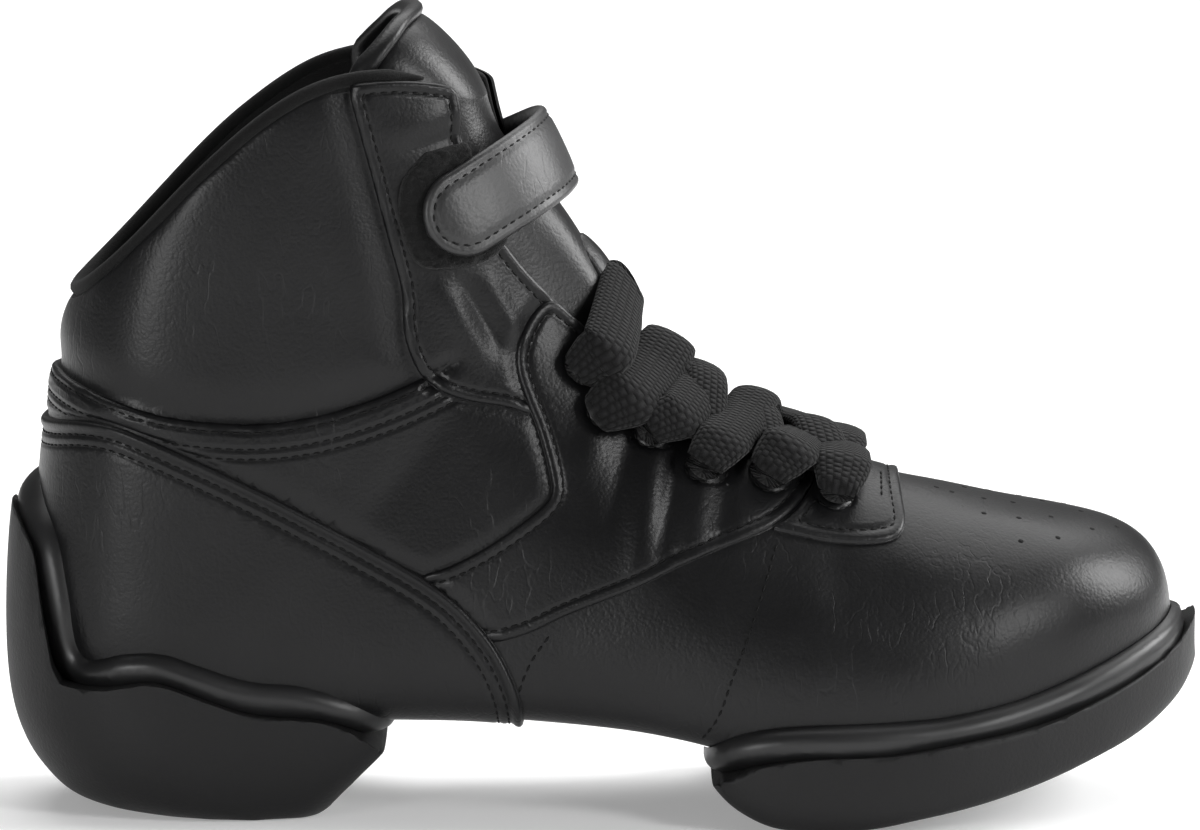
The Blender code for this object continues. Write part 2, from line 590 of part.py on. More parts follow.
def tongue_lift(row, s, side, distance):
    """How far the tongue's face lies over the upper's surface, or under it at the edges."""
    gap = throat_gap(s, side)
    under = -(wall_depth(s, side, max(distance, gap)) + CLEARANCE * 3)
    middle = TONGUE_CROWN * min(1.0, gap / 12.0) - (TONGUE_CROWN + TONGUE_SINK) * ramp(row, 16.0, 21.0)
    return under + (middle - under) * (1 - ramp(distance, gap * 0.3, max(gap - 1.5, 3.0)))


def add_tongue():
    """The padded tongue, over the instep and up past the collar."""
    rows = rows_between(THROAT_ROW + 1.0, TONGUE_ROW, 17)
    fractions = [k / 4 for k in range(4, -5, -1)]
    sheet, lifts = ridge_sheet(rows, fractions, tongue_reach, tongue_lift, TONGUE_DROOP)
    outside = sheet.offset(lifts)
    inside = sheet.offset([x - TONGUE_FOAM for x in lifts])
    walled("tongue", sheet, outside, inside, BLACK_LEATHER, 0.45)


def add_keeper():
    """The leather loop that stands on the tongue over the top of the lacing."""
    rows = rows_between(KEEPER_ROWS[0], KEEPER_ROWS[1], 8)
    sheet, lifts = ridge_sheet(
        rows, [1, 0.5, 0, -0.5, -1],
        lambda row, s, side: KEEPER_WIDTH / 2,
        lambda row, s, side, distance: tongue_lift(row, s, side, distance)
        + CLEARANCE * 1.5
        + KEEPER_HEIGHT * math.sin(math.pi * (row - rows[0]) / (rows[-1] - rows[0])) ** 0.8,
    )
    outside = sheet.offset([x + OVERLAY for x in lifts])
    walled("lace_keeper", sheet, outside, sheet.offset(lifts), BLACK_LEATHER, 0.4)


def add_strap(sheet, upper_side):
    """The ankle strap, sewn on the inner side, with its round free end on the outer side."""
    depth = 5 * CLEARANCE + OVERLAY + PILE_THICKNESS
    outer = strap_outline(STRAP_END, STRAP_FRONT, True)
    inner = strap_outline(STRAP_SEWN, STRAP_FRONT, False)
    cut = side_prism("strap_cut", outer, far=0.5)
    combine(cut, side_prism("strap_cut_inner", inner, near=-0.5), "UNION")
    add_overlay("strap", sheet, depth, STRAP_THICKNESS, cut)
    pile = side_prism("pile_cut", side_line(PILE_OUTLINE + PILE_OUTLINE[:1])[:-1], far=-4.0)
    add_overlay(
        "pile_patch", upper_side, 2 * CLEARANCE + OVERLAY, PILE_THICKNESS, pile, BLACK_FABRIC, 0.95
    )


def strap_outline(start, end, rounded):
    """A strap seen from the side: straight edges, and a round or a square first end."""
    a = Vector((start[0] * SHOE_LENGTH, start[1] * COLLAR_HEIGHT))
    b = Vector((end[0] * SHOE_LENGTH, end[1] * COLLAR_HEIGHT))
    along = (b - a).normalized()
    across = Vector((-along.y, along.x)) * STRAP_WIDTH / 2
    turns = [math.pi * k / 10 for k in range(11)] if rounded else [0.0, math.pi]
    bow = STRAP_WIDTH / 2 if rounded else 0.0
    outline = [a + across * math.cos(t) - along * bow * math.sin(t) for t in turns]
    return [tuple(p) for p in outline + [b - across, b + across]]


def disc_points(centre, normal, ahead, radius, count=8):
    """Points on a circle round a normal."""
    across = normal.cross(ahead).normalized()
    turns = [2 * math.pi * k / count for k in range(count)]
    return [centre + (ahead * math.cos(t) + across * math.sin(t)) * radius for t in turns]


def add_eyelets():
    """The small rings round the lace holes, and a helper solid for the holes themselves."""
    hole_points, hole_faces = [], []
    low = 3 * CLEARANCE + OVERLAY
    high = low + EYELET_THICKNESS
    profile = [(EYELET_BORE, low), (EYELET_OUTER, low), (EYELET_OUTER, high), (EYELET_BORE, high)]
    for k, eyelet in enumerate(EYELETS):
        for name, side in (("outer", -1), ("inner", 1)):
            p, n, ahead = ridge_frame(eyelet.row, side * eyelet.distance * BALL_WIDTH)
            points, faces = [], []
            for radius, lift in profile:
                points += disc_points(p + n * lift, n, ahead, radius)
            for r in range(4):
                for i in range(8):
                    j, q = (i + 1) % 8, (r + 1) % 4
                    faces.append([8 * r + j, 8 * q + j, 8 * q + i, 8 * r + i])
            make_object(f"eyelet_{name}_{k + 1}", points, faces, DARK_METAL, 0.4)
            start = len(hole_points)
            hole_points += disc_points(p - n * 8, n, ahead, EYELET_BORE)
            hole_points += disc_points(p + n * 3, n, ahead, EYELET_BORE)
            hole_faces += [[start + i for i in range(7, -1, -1)], [start + 8 + i for i in range(8)]]
            for i in range(8):
                j = (i + 1) % 8
                hole_faces.append([start + i, start + j, start + 8 + j, start + 8 + i])
    return make_object("eyelet_holes", hole_points, hole_faces)


def lace_strand(name, first, last, sag=LACE_SAG, colour=None):
    """One run of lace over the throat, between two (row, signed distance, lift) ends."""
    rings = []
    steps = 6
    for k in range(steps + 1):
        t = k / steps
        row, distance, lift = (a + (b - a) * t for a, b in zip(first, last))
        lift -= sag * math.sin(math.pi * t)
        p, n, _ = ridge_frame(row, distance)
        rings.append((p + n * lift, n))
    loops = []
    for k, (p, n) in enumerate(rings):
        way = (rings[min(k + 1, steps)][0] - rings[max(k - 1, 0)][0]).normalized()
        wide = n.cross(way).normalized()
        up = way.cross(wide).normalized()
        narrow = 0.72 if k in (0, steps) else 1.0
        loop = [
            p + (wide * math.cos(a) * LACE_WIDTH + up * math.sin(a) * LACE_THICKNESS) * narrow / 2
            for a in (2 * math.pi * i / 6 for i in range(6))
        ]
        loops.append(loop + loop[:1])
    sheet = grid_sheet(loops, cap_first=True, cap_last=True)
    return make_object(name, sheet.points, sheet.faces, colour, 0.9)


def add_laces():
    """The lacing: a bar at each end, and crossings that go in under the opposite edge."""
    over = 4 * CLEARANCE + OVERLAY + EYELET_THICKNESS + LACE_THICKNESS / 2
    ends = []
    for e in EYELETS:
        ends.append({side: (e.row, side * e.distance * BALL_WIDTH, over) for side in (-1, 1)})
    laces = lace_strand("laces", ends[0][-1], ends[0][1], colour=BLACK_FABRIC)
    strands = [lace_strand("top_bar", ends[-1][-1], ends[-1][1])]
    for k in range(len(EYELETS) - 1):
        for side in (-1, 1):
            row, distance, lift = ends[k + 1][-side]
            tucked = (row - 0.1, distance * LACE_TUCK, lift - 0.4)
            sag = LACE_SAG * (0.55 - 0.4 * side)
            strands.append(lace_strand(f"crossing_{k}_{side}", ends[k][side], tucked, sag))
    for strand in strands:
        combine(laces, strand, "UNION")


def add_insole(cavity):
    """The insole, cut from a thick slab by the space inside the upper."""
    rings = []
    for row in rows_between(1.8, 19.2, 16):
        s = between(SECTIONS, row)
        half = max(s.half * BALL_WIDTH, 12.0)
        z = s.heel * HEEL_HEIGHT
        rings.append([
            Vector((s.bottom * SHOE_LENGTH, s.shift * BALL_WIDTH + f * half, z)) for f in (-1, 0, 1)
        ])
    sheet = grid_sheet(rings)
    rise = WALL + CLEARANCE + INSOLE_THICKNESS
    top = [p + Vector((0, 0, rise)) for p in sheet.points]
    obj = walled("insole", sheet, sheet.points, top, BLACK_FABRIC, 0.9)
    combine(obj, cavity, "INTERSECT")


def grown(outline, distance):
    """A closed side-view outline, larger by a distance all round."""
    area = sum(a[0] * b[1] - b[0] * a[1] for a, b in zip(outline, outline[1:] + outline[:1]))
    sign = 1 if area > 0 else -1
    moved = []
    for k, (s, z) in enumerate(outline):
        (s0, z0), (s1, z1) = outline[k - 1], outline[(k + 1) % len(outline)]
        way = Vector((s1 - s0, z1 - z0)).normalized()
        moved.append((s + way.y * distance * sign, z - way.x * distance * sign))
    return moved


def cut_away(obj, name, outline, near=-90.0, far=90.0):
    """Takes a side-view outline, with its clearance, out of a piece."""
    return combine(obj, side_prism(name, grown(outline, CLEARANCE), near, far), "DIFFERENCE")


def add_panels(sheet, heel_outlines):
    """The leather laid on the upper: counter, eyestay and the two ankle panels."""
    low = -0.1 * COLLAR_HEIGHT
    counter = side_line(COUNTER_TOP) + [(COUNTER_TOP[-1][0] * SHOE_LENGTH, low), (-9.0, low)]
    counter += [(-9.0, COUNTER_TOP[0][1] * COLLAR_HEIGHT)]
    eyestay = side_line(EYESTAY_BACK)
    eyestay += [(0.54 * SHOE_LENGTH, 0.80 * COLLAR_HEIGHT), (0.80 * SHOE_LENGTH, 0.62 * COLLAR_HEIGHT)]
    eyestay += side_line(EYESTAY_FRONT)[::-1]
    ankle = side_line(ANKLE_PANEL) + [(0.50 * SHOE_LENGTH, 0.55 * COLLAR_HEIGHT)]
    ankle += [(0.62 * SHOE_LENGTH, 0.80 * COLLAR_HEIGHT), (0.55 * SHOE_LENGTH, 1.2 * COLLAR_HEIGHT)]
    ankle += [(ANKLE_PANEL[0][0] * SHOE_LENGTH, 1.2 * COLLAR_HEIGHT)]
    piece = add_overlay("heel_counter", sheet, CLEARANCE, OVERLAY, side_prism("counter_cut", counter))
    for k, outline in enumerate(heel_outlines):
        cut_away(piece, f"counter_sole_cut_{k}", outline)
    wings = add_overlay("eyestay", sheet, CLEARANCE, OVERLAY, side_prism("eyestay_cut", eyestay))
    cut_away(wings, "eyestay_counter_cut", counter)
    for name, near, far in (("lateral", -90.0, -4.0), ("medial", 4.0, 90.0)):
        cut = side_prism(f"ankle_cut_{name}", ankle, near, far)
        panel = add_overlay(f"ankle_panel_{name}", sheet, CLEARANCE, OVERLAY, cut)
        cut_away(panel, f"ankle_eyestay_cut_{name}", eyestay)
    return wings


def main():
    for obj in list(bpy.data.objects):
        bpy.data.objects.remove(obj)
    upper = add_upper(upper_sheet(floor_open=True))
    whole = upper_sheet()
    ridge_closed = upper_sheet(throat=False)
    closed = upper_sheet(throat=False, cap_last=True)
    hull = make_object("last_hull", closed.offset(CLEARANCE), closed.faces)
    cavity = make_object("cavity", closed.offset([-w - CLEARANCE for w in closed.walls]), closed.faces)
    heel_outlines = add_heel_unit(hull, whole)
    add_forefoot_unit(hull, whole)
    add_insole(cavity)
    add_tongue()
    wings = add_panels(whole, heel_outlines)
    add_strap(ridge_closed, whole)
    holes = add_eyelets()
    combine(upper, holes, "DIFFERENCE")
    combine(wings, holes, "DIFFERENCE")
    add_laces()
    add_keeper()


main()
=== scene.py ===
"""Looks of a black leather split-sole dance sneaker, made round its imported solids.

All shoe measures here are in millimetres: x runs to the toe from the middle of the heel
tread, y to the inner side of the foot and z up from the floor.
"""

import math
from collections import namedtuple

import bmesh
import bpy
import numpy as np
from mathutils import Matrix, Vector, noise
from mathutils.bvhtree import BVHTree
from mathutils.kdtree import KDTree


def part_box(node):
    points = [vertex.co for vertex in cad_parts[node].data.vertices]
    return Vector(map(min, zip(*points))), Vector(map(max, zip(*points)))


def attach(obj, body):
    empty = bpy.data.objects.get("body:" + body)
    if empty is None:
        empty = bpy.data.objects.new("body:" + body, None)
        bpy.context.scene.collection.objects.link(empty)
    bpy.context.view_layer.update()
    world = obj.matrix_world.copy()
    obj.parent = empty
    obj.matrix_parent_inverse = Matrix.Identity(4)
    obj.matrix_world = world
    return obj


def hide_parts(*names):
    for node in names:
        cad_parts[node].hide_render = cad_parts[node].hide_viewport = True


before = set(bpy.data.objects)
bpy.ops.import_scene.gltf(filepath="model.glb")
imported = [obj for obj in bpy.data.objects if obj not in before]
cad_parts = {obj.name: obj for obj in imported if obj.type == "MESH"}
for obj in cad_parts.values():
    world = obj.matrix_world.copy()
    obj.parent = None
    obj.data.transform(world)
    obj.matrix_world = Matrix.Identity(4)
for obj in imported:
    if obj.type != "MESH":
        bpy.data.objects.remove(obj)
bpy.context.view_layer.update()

MM = 0.001
OUTER, INNER = -1, 1

# Sizes of the leather work
LEATHER = 1.25  # a panel's face stands this far off the upper
PANEL_BACK = 0.12  # and its back this far
EDGE_MARGIN = 0.3  # panels stop this far short of the collar's and the throat's edge
UNDERLAP = 1.0  # a panel goes this far in under its neighbour
DIP_DEPTH, DIP_SPAN = 0.85, 1.3  # and is pressed down beside it
STITCH_PITCH = 2.35
STITCH_LENGTH = 1.75
STITCH_WIDTH = 0.55
ROW_GROOVE, ROW_WIDTH = 0.32, 0.5  # the groove that a row of stitches pulls into the leather
PAD_DIP = 1.5  # the padded collar is drawn in this far at its seam
PAD_ROLL, PAD_LIP = 5.5, 1.2  # how far the draw reaches over the padding and past the seam
SWELL_HEIGHT, SWELL_SPAN = 0.28, 17.0  # slow unevenness of the leather
# The laces' size is set to the photo's lobes; the solid's lace is narrower
LACE_WIDTH = 13.4
LACE_THICKNESS = 4.4
LACE_RINGS = 44
LACE_FAT = {2: 1.0, 3: 0.92, 4: 0.86, 5: 1.1}  # how full it is at each pair of eyelets
LOOP_PLACE = (88.0, 0.0, 114.0)  # where the top runs meet on the loop

# Side-view lines of the panels
COUNTER_EDGE = [
    (-40.2, 84.8), (-29.9, 87.5), (-21.2, 87.2), (-12.3, 84.1), (-0.7, 79.0), (11.4, 73.2),
    (23.0, 67.1), (34.8, 60.7), (46.6, 54.0), (54.5, 48.0), (61.1, 40.4), (65.3, 32.7),
    (67.4, 25.4), (67.9, 14.2),
]
WING_BACK = [
    (45.3, 55.0), (51.6, 57.0), (59.5, 61.1), (67.4, 66.4), (72.4, 70.5), (73.7, 73.5),
    (72.9, 78.5), (70.6, 86.3), (68.2, 92.3), (66.1, 98.8), (66.1, 104.0), (68.5, 109.7),
    (72.1, 113.3), (75.6, 112.5), (79.8, 108.9),
]
WING_FRONT = [
    (61.6, 40.4), (69.0, 42.7), (76.3, 46.3), (84.0, 49.5), (92.4, 52.9), (105.0, 58.9),
    (121.1, 64.9),
]
TIP_FRONT = [
    (121.1, 64.9), (127.9, 63.4), (135.5, 61.9), (143.4, 61.5), (148.9, 62.4), (150.8, 65.3),
    (150.2, 70.0), (149.2, 77.4),
]
TIP_SEAM = [(121.1, 64.9), (126.5, 68.5), (131.0, 74.0), (133.5, 82.0)]
ANKLE_EDGE = [
    (30.3, 158.9), (34.5, 143.1), (38.2, 128.8), (41.1, 117.6), (41.9, 107.0), (45.0, 98.9),
    (49.0, 95.3), (55.6, 92.7), (63.5, 91.2), (68.2, 89.7),
]
BAND_TOP = [
    (-46.0, 101.0), (-35.8, 97.5), (-24.1, 93.5), (-12.2, 89.9), (-0.6, 88.4), (11.3, 88.1),
    (23.0, 89.7), (34.8, 93.2), (44.7, 97.3), (52.0, 101.0),
]
PILE_EDGE = [
    (46.1, 146.9), (41.1, 141.1), (40.3, 133.8), (41.6, 128.1), (44.3, 122.8), (49.0, 121.5),
    (56.4, 122.1), (61.9, 124.8), (66.1, 132.7), (64.5, 143.0), (56.9, 148.5),
]
# Side-view lines of the beads between the upper and the outsoles
HEEL_RIM_TOP = [
    (-38.4, 76.6), (-36.2, 68.6), (-33.0, 61.0), (-30.7, 49.0), (-28.1, 36.3), (-19.1, 37.6),
    (-11.0, 37.8), (-3.1, 35.2), (8.0, 31.8), (19.0, 30.8), (29.0, 27.6), (40.1, 22.0),
]
HEEL_RIM_BOTTOM = [
    (-44.9, 67.5), (-39.6, 59.2), (-38.3, 50.7), (-36.2, 38.6), (-33.3, 30.8), (-23.1, 30.3),
    (-15.4, 31.8), (-9.4, 31.0), (5.1, 25.4), (14.0, 24.0), (23.0, 23.4), (30.1, 20.9),
    (36.4, 16.3),
]
FOREFOOT_RIM_TOP = [
    (105.0, 15.0), (112.9, 20.7), (125.0, 23.5), (147.9, 24.6), (160.0, 25.4), (176.0, 28.3),
    (191.0, 33.2), (203.1, 38.2), (210.0, 42.0), (213.9, 45.5),
]
FOREFOOT_RIM_BOTTOM = [
    (106.9, 9.5), (117.1, 15.2), (132.1, 17.7), (147.9, 18.2), (163.9, 20.5), (180.0, 23.1),
    (191.0, 26.5), (203.1, 31.3), (212.1, 36.7), (216.0, 41.4),
]

# Soft folds of the leather, from one side-view point to another
Fold = namedtuple("Fold", "side x0 z0 x1 z1 width height")
FOLDS = [
    Fold(OUTER, 97.5, 88.0, 92.5, 57.0, 2.6, 1.0),
    Fold(OUTER, 101.8, 86.0, 98.0, 58.0, 2.4, -0.9),
    Fold(OUTER, 107.5, 80.0, 103.5, 60.0, 2.6, 0.9),
    Fold(OUTER, 91.0, 86.0, 86.5, 64.0, 2.6, -0.7),
    Fold(OUTER, 84.5, 90.0, 80.0, 74.0, 3.0, 0.6),
    Fold(OUTER, 112.5, 76.0, 110.0, 62.0, 2.2, -0.6),
    Fold(OUTER, 135.0, 62.0, 137.0, 50.0, 3.5, -0.35),
    Fold(OUTER, 50.0, 88.0, 30.0, 62.0, 4.0, -0.35),
    Fold(OUTER, 50.0, 117.0, 58.5, 101.0, 2.2, 0.75),
    Fold(OUTER, 54.5, 118.0, 63.0, 103.0, 1.8, -0.7),
    Fold(OUTER, 59.5, 119.0, 67.0, 105.0, 1.7, 0.55),
    Fold(OUTER, 40.0, 152.0, 55.0, 156.0, 3.0, 0.6),
    Fold(OUTER, 42.0, 147.5, 56.0, 151.5, 2.0, -0.5),
    Fold(INNER, 98.5, 86.0, 95.0, 60.0, 2.8, 0.8),
    Fold(INNER, 103.5, 84.0, 100.0, 58.0, 2.5, -0.9),
    Fold(INNER, 109.0, 78.0, 105.0, 60.0, 2.6, 0.6),
    Fold(INNER, 60.0, 84.0, 48.0, 62.0, 4.5, -0.4),
    Fold(INNER, 132.0, 60.0, 136.0, 46.0, 3.5, -0.35),
]
# Stitched seams sewn flat on the vamp, in side view
VAMP_SEAM = [
    (122.8, 62.3), (119.2, 51.0), (116.2, 42.2), (113.2, 34.4), (110.1, 25.6), (106.5, 20.0),
]
SHANK_SEAM = [(73.4, 42.4), (69.1, 35.9), (66.6, 29.0), (65.8, 22.0)]
# Pinholes on the toe, seen from above
PINHOLES = [
    (158.2, -5.5), (164.6, 2.6), (161.6, -5.9), (168.7, -4.2), (175.2, -1.7), (182.0, 7.8),
    (168.4, -14.1), (176.1, -12.5), (183.4, -7.0), (190.4, 4.4), (176.2, -22.2), (184.5, -17.2),
    (192.4, -7.6), (198.2, 0.4), (170.0, 8.5), (177.0, 12.5), (164.0, 12.0), (171.0, 18.0),
    (187.0, 14.5), (179.0, 21.5),
]
# Middle line of the ankle strap's outer face, from its free end over the tongue
STRAP_PATH = [
    (47.4, -33.8, 129.9), (52.9, -32.2, 133.0), (57.3, -30.1, 135.4), (61.7, -27.4, 137.9),
    (66.1, -23.7, 140.3), (70.6, -18.0, 142.7), (74.3, -10.0, 144.6), (76.0, 0.0, 145.5),
    (74.6, 10.0, 144.6), (70.9, 18.3, 142.2), (65.2, 25.0, 138.9), (59.9, 29.0, 135.8),
    (54.5, 31.9, 132.6), (49.2, 33.6, 129.5), (43.8, 34.9, 126.4), (38.5, 36.0, 123.2),
]
STRAP_HALF = 9.5
STRAP_THICKNESS = 2.5
STRAP_SEAM = 2.4  # the stitches' distance from the strap's edge
STRAP_RINGS = 150
STRAP_SEWN = (22.0, 30.0)  # past the first it comes down to the leather, from the second on it lies
# The lace loop on the ridge of the tongue: its upper and lower end, half width and rise
KEEPER_TOP, KEEPER_FOOT = 126.0, 106.0
KEEPER_HALF = 6.0
KEEPER_RISE = 2.6


def smooth_line(points, steps=6):
    """A smooth line through a few points, in side view or in space."""
    p = np.array([points[0], *points, points[-1]], float)
    line = []
    for i in range(1, len(p) - 2):
        a, b, c, d = p[i - 1], p[i], p[i + 1], p[i + 2]
        for t in np.linspace(0, 1, steps, endpoint=False):
            line.append(0.5 * (2 * b + (c - a) * t + (2 * a - 5 * b + 4 * c - d) * t * t
                               + (3 * b - a - 3 * c + d) * t**3))
    return np.array(line + [p[-2]])


def depth_inside(points, outline):
    """How far side-view points lie inside a closed outline; negative outside."""
    q = np.asarray(points, float)
    a, b = np.asarray(outline), np.roll(np.asarray(outline), -1, axis=0)
    best = np.full(len(q), 1e9)
    inside = np.zeros(len(q), bool)
    for (ax, az), (bx, bz) in zip(a, b):
        ex, ez = bx - ax, bz - az
        wx, wz = q[:, 0] - ax, q[:, 1] - az
        t = np.clip((wx * ex + wz * ez) / max(ex * ex + ez * ez, 1e-9), 0, 1)
        best = np.minimum(best, (wx - ex * t) ** 2 + (wz - ez * t) ** 2)
        if az != bz:
            crosses = (az > q[:, 1]) != (bz > q[:, 1])
            inside ^= crosses & (q[:, 0] < ex * (q[:, 1] - az) / (bz - az) + ax)
    return np.where(inside, 1.0, -1.0) * np.sqrt(best)


def ramp(value, low, high):
    """0 up to low, 1 from high on, and smooth between."""
    t = np.clip((value - low) / (high - low), 0, 1)
    return t * t * (3 - 2 * t)


# Meshes


def merged(node):
    """A node's mesh with its loose triangles merged, in millimetres."""
    bm = bmesh.new()
    bm.from_mesh(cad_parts[node].data)
    bmesh.ops.remove_doubles(bm, verts=bm.verts, dist=1e-6)
    bmesh.ops.scale(bm, vec=(1 / MM,) * 3, verts=bm.verts)
    return bm


def coordinates(bm):
    """The vertices' places as an array."""
    return np.array([v.co[:] for v in bm.verts])


def piece(name, bm, material, replaces=()):
    """A finished piece from a mesh in millimetres."""
    bmesh.ops.scale(bm, vec=(MM,) * 3, verts=bm.verts)
    mesh = bpy.data.meshes.new(name)
    bm.to_mesh(mesh)
    bm.free()
    obj = bpy.data.objects.new(name, mesh)
    bpy.context.scene.collection.objects.link(obj)
    for m in material if isinstance(material, (list, tuple)) else [material]:
        mesh.materials.append(m)
    mesh.polygons.foreach_set("use_smooth", [True] * len(mesh.polygons))
    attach(obj, "root")
    if replaces:
        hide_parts(*replaces)
    return obj


def refined(bm, kind, **settings):
    """The mesh after one modifier."""
    mesh = bpy.data.meshes.new("helper")
    bm.to_mesh(mesh)
    bm.free()
    obj = bpy.data.objects.new("helper", mesh)
    bpy.context.scene.collection.objects.link(obj)
    modifier = obj.modifiers.new(kind, kind)
    for key, value in settings.items():
        setattr(modifier, key, value)
    done = bpy.data.meshes.new_from_object(obj.evaluated_get(bpy.context.evaluated_depsgraph_get()))
    out = bmesh.new()
    out.from_mesh(done)
    bpy.data.objects.remove(obj)
    bpy.data.meshes.remove(mesh)
    bpy.data.meshes.remove(done)
    return out


def subdivided(bm, levels):
    return refined(bm, "SUBSURF", levels=levels, render_levels=levels)


def softened(bm, rounds, verts=None, factor=0.5):
    """Moves vertices, all unless some are given, toward the middle of their neighbours."""
    for _ in range(rounds):
        bmesh.ops.smooth_vert(bm, verts=verts or bm.verts, factor=factor,
                              use_axis_x=True, use_axis_y=True, use_axis_z=True)
    return bm


def softened_inside(bm, rounds):
    """Softens all but the free edge."""
    return softened(bm, rounds, [v for v in bm.verts if not v.is_boundary])


def evenly_softened(bm, rounds):
    """Softens a form without shrinking it."""
    for _ in range(rounds):
        softened(bm, 1)
        softened(bm, 1, factor=-0.52)  # a little more back out than in
    return bm


def remeshed(bm, voxel, rounds):
    """Even quads over the same form, with its facets and corners softened."""
    return softened(refined(bm, "REMESH", mode="VOXEL", voxel_size=voxel), rounds)


def joined(bm):
    """The facets' triangle pairs as quads."""
    bmesh.ops.join_triangles(bm, faces=bm.faces, angle_face_threshold=math.radians(60),
                             angle_shape_threshold=math.radians(180))
    return bm


def creased(bm, limit, amount):
    """Keeps edges sharper than the limit fairly crisp when the mesh is subdivided."""
    layer = bm.edges.layers.float.get("crease_edge") or bm.edges.layers.float.new("crease_edge")
    bm.normal_update()
    for e in bm.edges:
        if e.calc_face_angle(0) > math.radians(limit):
            e[layer] = amount
    return bm


def tree(bm):
    return BVHTree.FromBMesh(bm)


def outside_sheet(bm, limit=math.radians(50)):
    """Leaves only the outer face of a walled piece, found from its outermost face."""
    bm.normal_update()
    seed = min(bm.faces, key=lambda f: f.calc_center_median().y - 0.2 * abs(f.normal.y))
    seen, stack = {seed}, [seed]
    while stack:
        face = stack.pop()
        for edge in face.edges:
            for other in edge.link_faces:
                if other not in seen and face.normal.angle(other.normal, 0) < limit:
                    seen.add(other)
                    stack.append(other)
    bmesh.ops.delete(bm, geom=[f for f in bm.faces if f not in seen], context="FACES")
    return bm


def upper_skin():
    """The upper's outer face as one fine open sheet."""
    bm = joined(outside_sheet(merged("upper")))
    return softened_inside(subdivided(bm, 3), 6)


def edge_loops(bm, wanted):
    """Chains of vertices along the wanted edges."""
    links = {}
    for e in bm.edges:
        if wanted(e):
            a, b = e.verts
            links.setdefault(a, []).append(b)
            links.setdefault(b, []).append(a)
    chains, used = [], set()
    starts = [v for v in links if len(links[v]) == 1] + list(links)
    for start in starts:
        if start in used:
            continue
        chain = [start]
        used.add(start)
        while True:
            following = [v for v in links[chain[-1]] if v not in used]
            if not following:
                break
            chain.append(following[0])
            used.add(following[0])
        if len(chain) > 2:
            if chain[0] in links[chain[-1]] and len(links[chain[0]]) > 1:
                chain.append(chain[0])
            chains.append(chain)
    return chains


def free_edge_distance(bm):
    """A function giving the distance from points to the sheet's free edge."""
    samples = []
    for e in bm.edges:
        if e.is_boundary:
            a, b = (v.co for v in e.verts)
            samples += [a.lerp(b, t / 4) for t in range(4)]
    finder = KDTree(len(samples))
    for i, p in enumerate(samples):
        finder.insert(p, i)
    finder.balance()
    return lambda points: np.array([finder.find(Vector(p))[2] for p in points])


def cut_levels(bm, depth, levels):
    """Cuts the sheet along lines of equal depth and drops what lies outside the first.

    depth is a list with one value a vertex. Returns the mesh's depth and mark layers: a
    vertex on the line of levels[k] is marked k + 1.
    """
    value = bm.verts.layers.float.new("depth")
    mark = bm.verts.layers.int.new("mark")
    for v, d in zip(bm.verts, depth):
        v[value] = float(d)
    far = [v for v in bm.verts if v[value] < levels[0] - 4.0]
    bmesh.ops.delete(bm, geom=far, context="VERTS")
    for k, level in enumerate(levels):
        for v in bm.verts:
            if abs(v[value] - level) < 0.015 and not v[mark]:
                v[value] = level + 0.015
        made = []
        for e in list(bm.edges):
            a, b = e.verts
            da, db = a[value] - level, b[value] - level
            if da * db < 0 and not (a[mark] == k + 1 or b[mark] == k + 1):
                _, new = bmesh.utils.edge_split(e, a, da / (da - db))
                new[value] = level
                new[mark] = k + 1
                made.append(new)
        bmesh.ops.connect_verts(bm, verts=made)
        if k == 0:
            gone = [f for f in bm.faces
                    if sum(v[value] for v in f.verts) / len(f.verts) < level - 1e-6]
            bmesh.ops.delete(bm, geom=gone, context="FACES")
            bmesh.ops.delete(bm, geom=[v for v in bm.verts if not v.link_faces], context="VERTS")
    return value, mark


def panel(name, depth, profile, material, rows=(), replaces=(), relief=None,
          side=None, trim=None, soften=0):
    """A leather panel laid on the upper, with its edge's profile and its rows of stitches.

    depth gives how far a point of the upper lies inside the panel, profile is (depth,
    height) pairs from the edge in, and rows are the depths at which it is stitched. side
    keeps to one side of the shoe, trim cuts it off under its neighbours, relief raises or
    lowers its face, and soften is how many times the face is smoothed.
    """
    bm = skin.copy()
    profile = with_rows(profile, rows)
    if side:
        bmesh.ops.delete(bm, geom=[v for v in bm.verts if v.co.y * side < 3.0], context="VERTS")
    if trim:
        cut_levels(bm, trim(coordinates(bm)), [0.0])
        bm.verts.layers.float.remove(bm.verts.layers.float["depth"])
        bm.verts.layers.int.remove(bm.verts.layers.int["mark"])
    levels = sorted({0.0, *[d for d, _ in profile if d > 0.05], *rows})
    value, mark = cut_levels(bm, depth(coordinates(bm)), levels)
    bm.normal_update()
    normals = {v: skin_normal(v.co) for v in bm.verts}
    depths = np.array([v[value] for v in bm.verts])
    heights = np.interp(depths, [d for d, _ in profile], [h for _, h in profile])
    if relief:
        heights = heights + relief(coordinates(bm), depths)
    bm.verts.index_update()
    for v, h in zip(bm.verts, heights):
        v.co = v.co + normals[v] * h
    softened_inside(bm, soften)
    bm.normal_update()
    for row in rows:
        k = levels.index(row) + 1
        for chain in edge_loops(bm, lambda e: all(v[mark] == k for v in e.verts)):
            seams.append([(v.co.copy(), v.normal.copy()) for v in chain])
    close_back(bm, normals)
    return piece(name, bm, material, replaces)


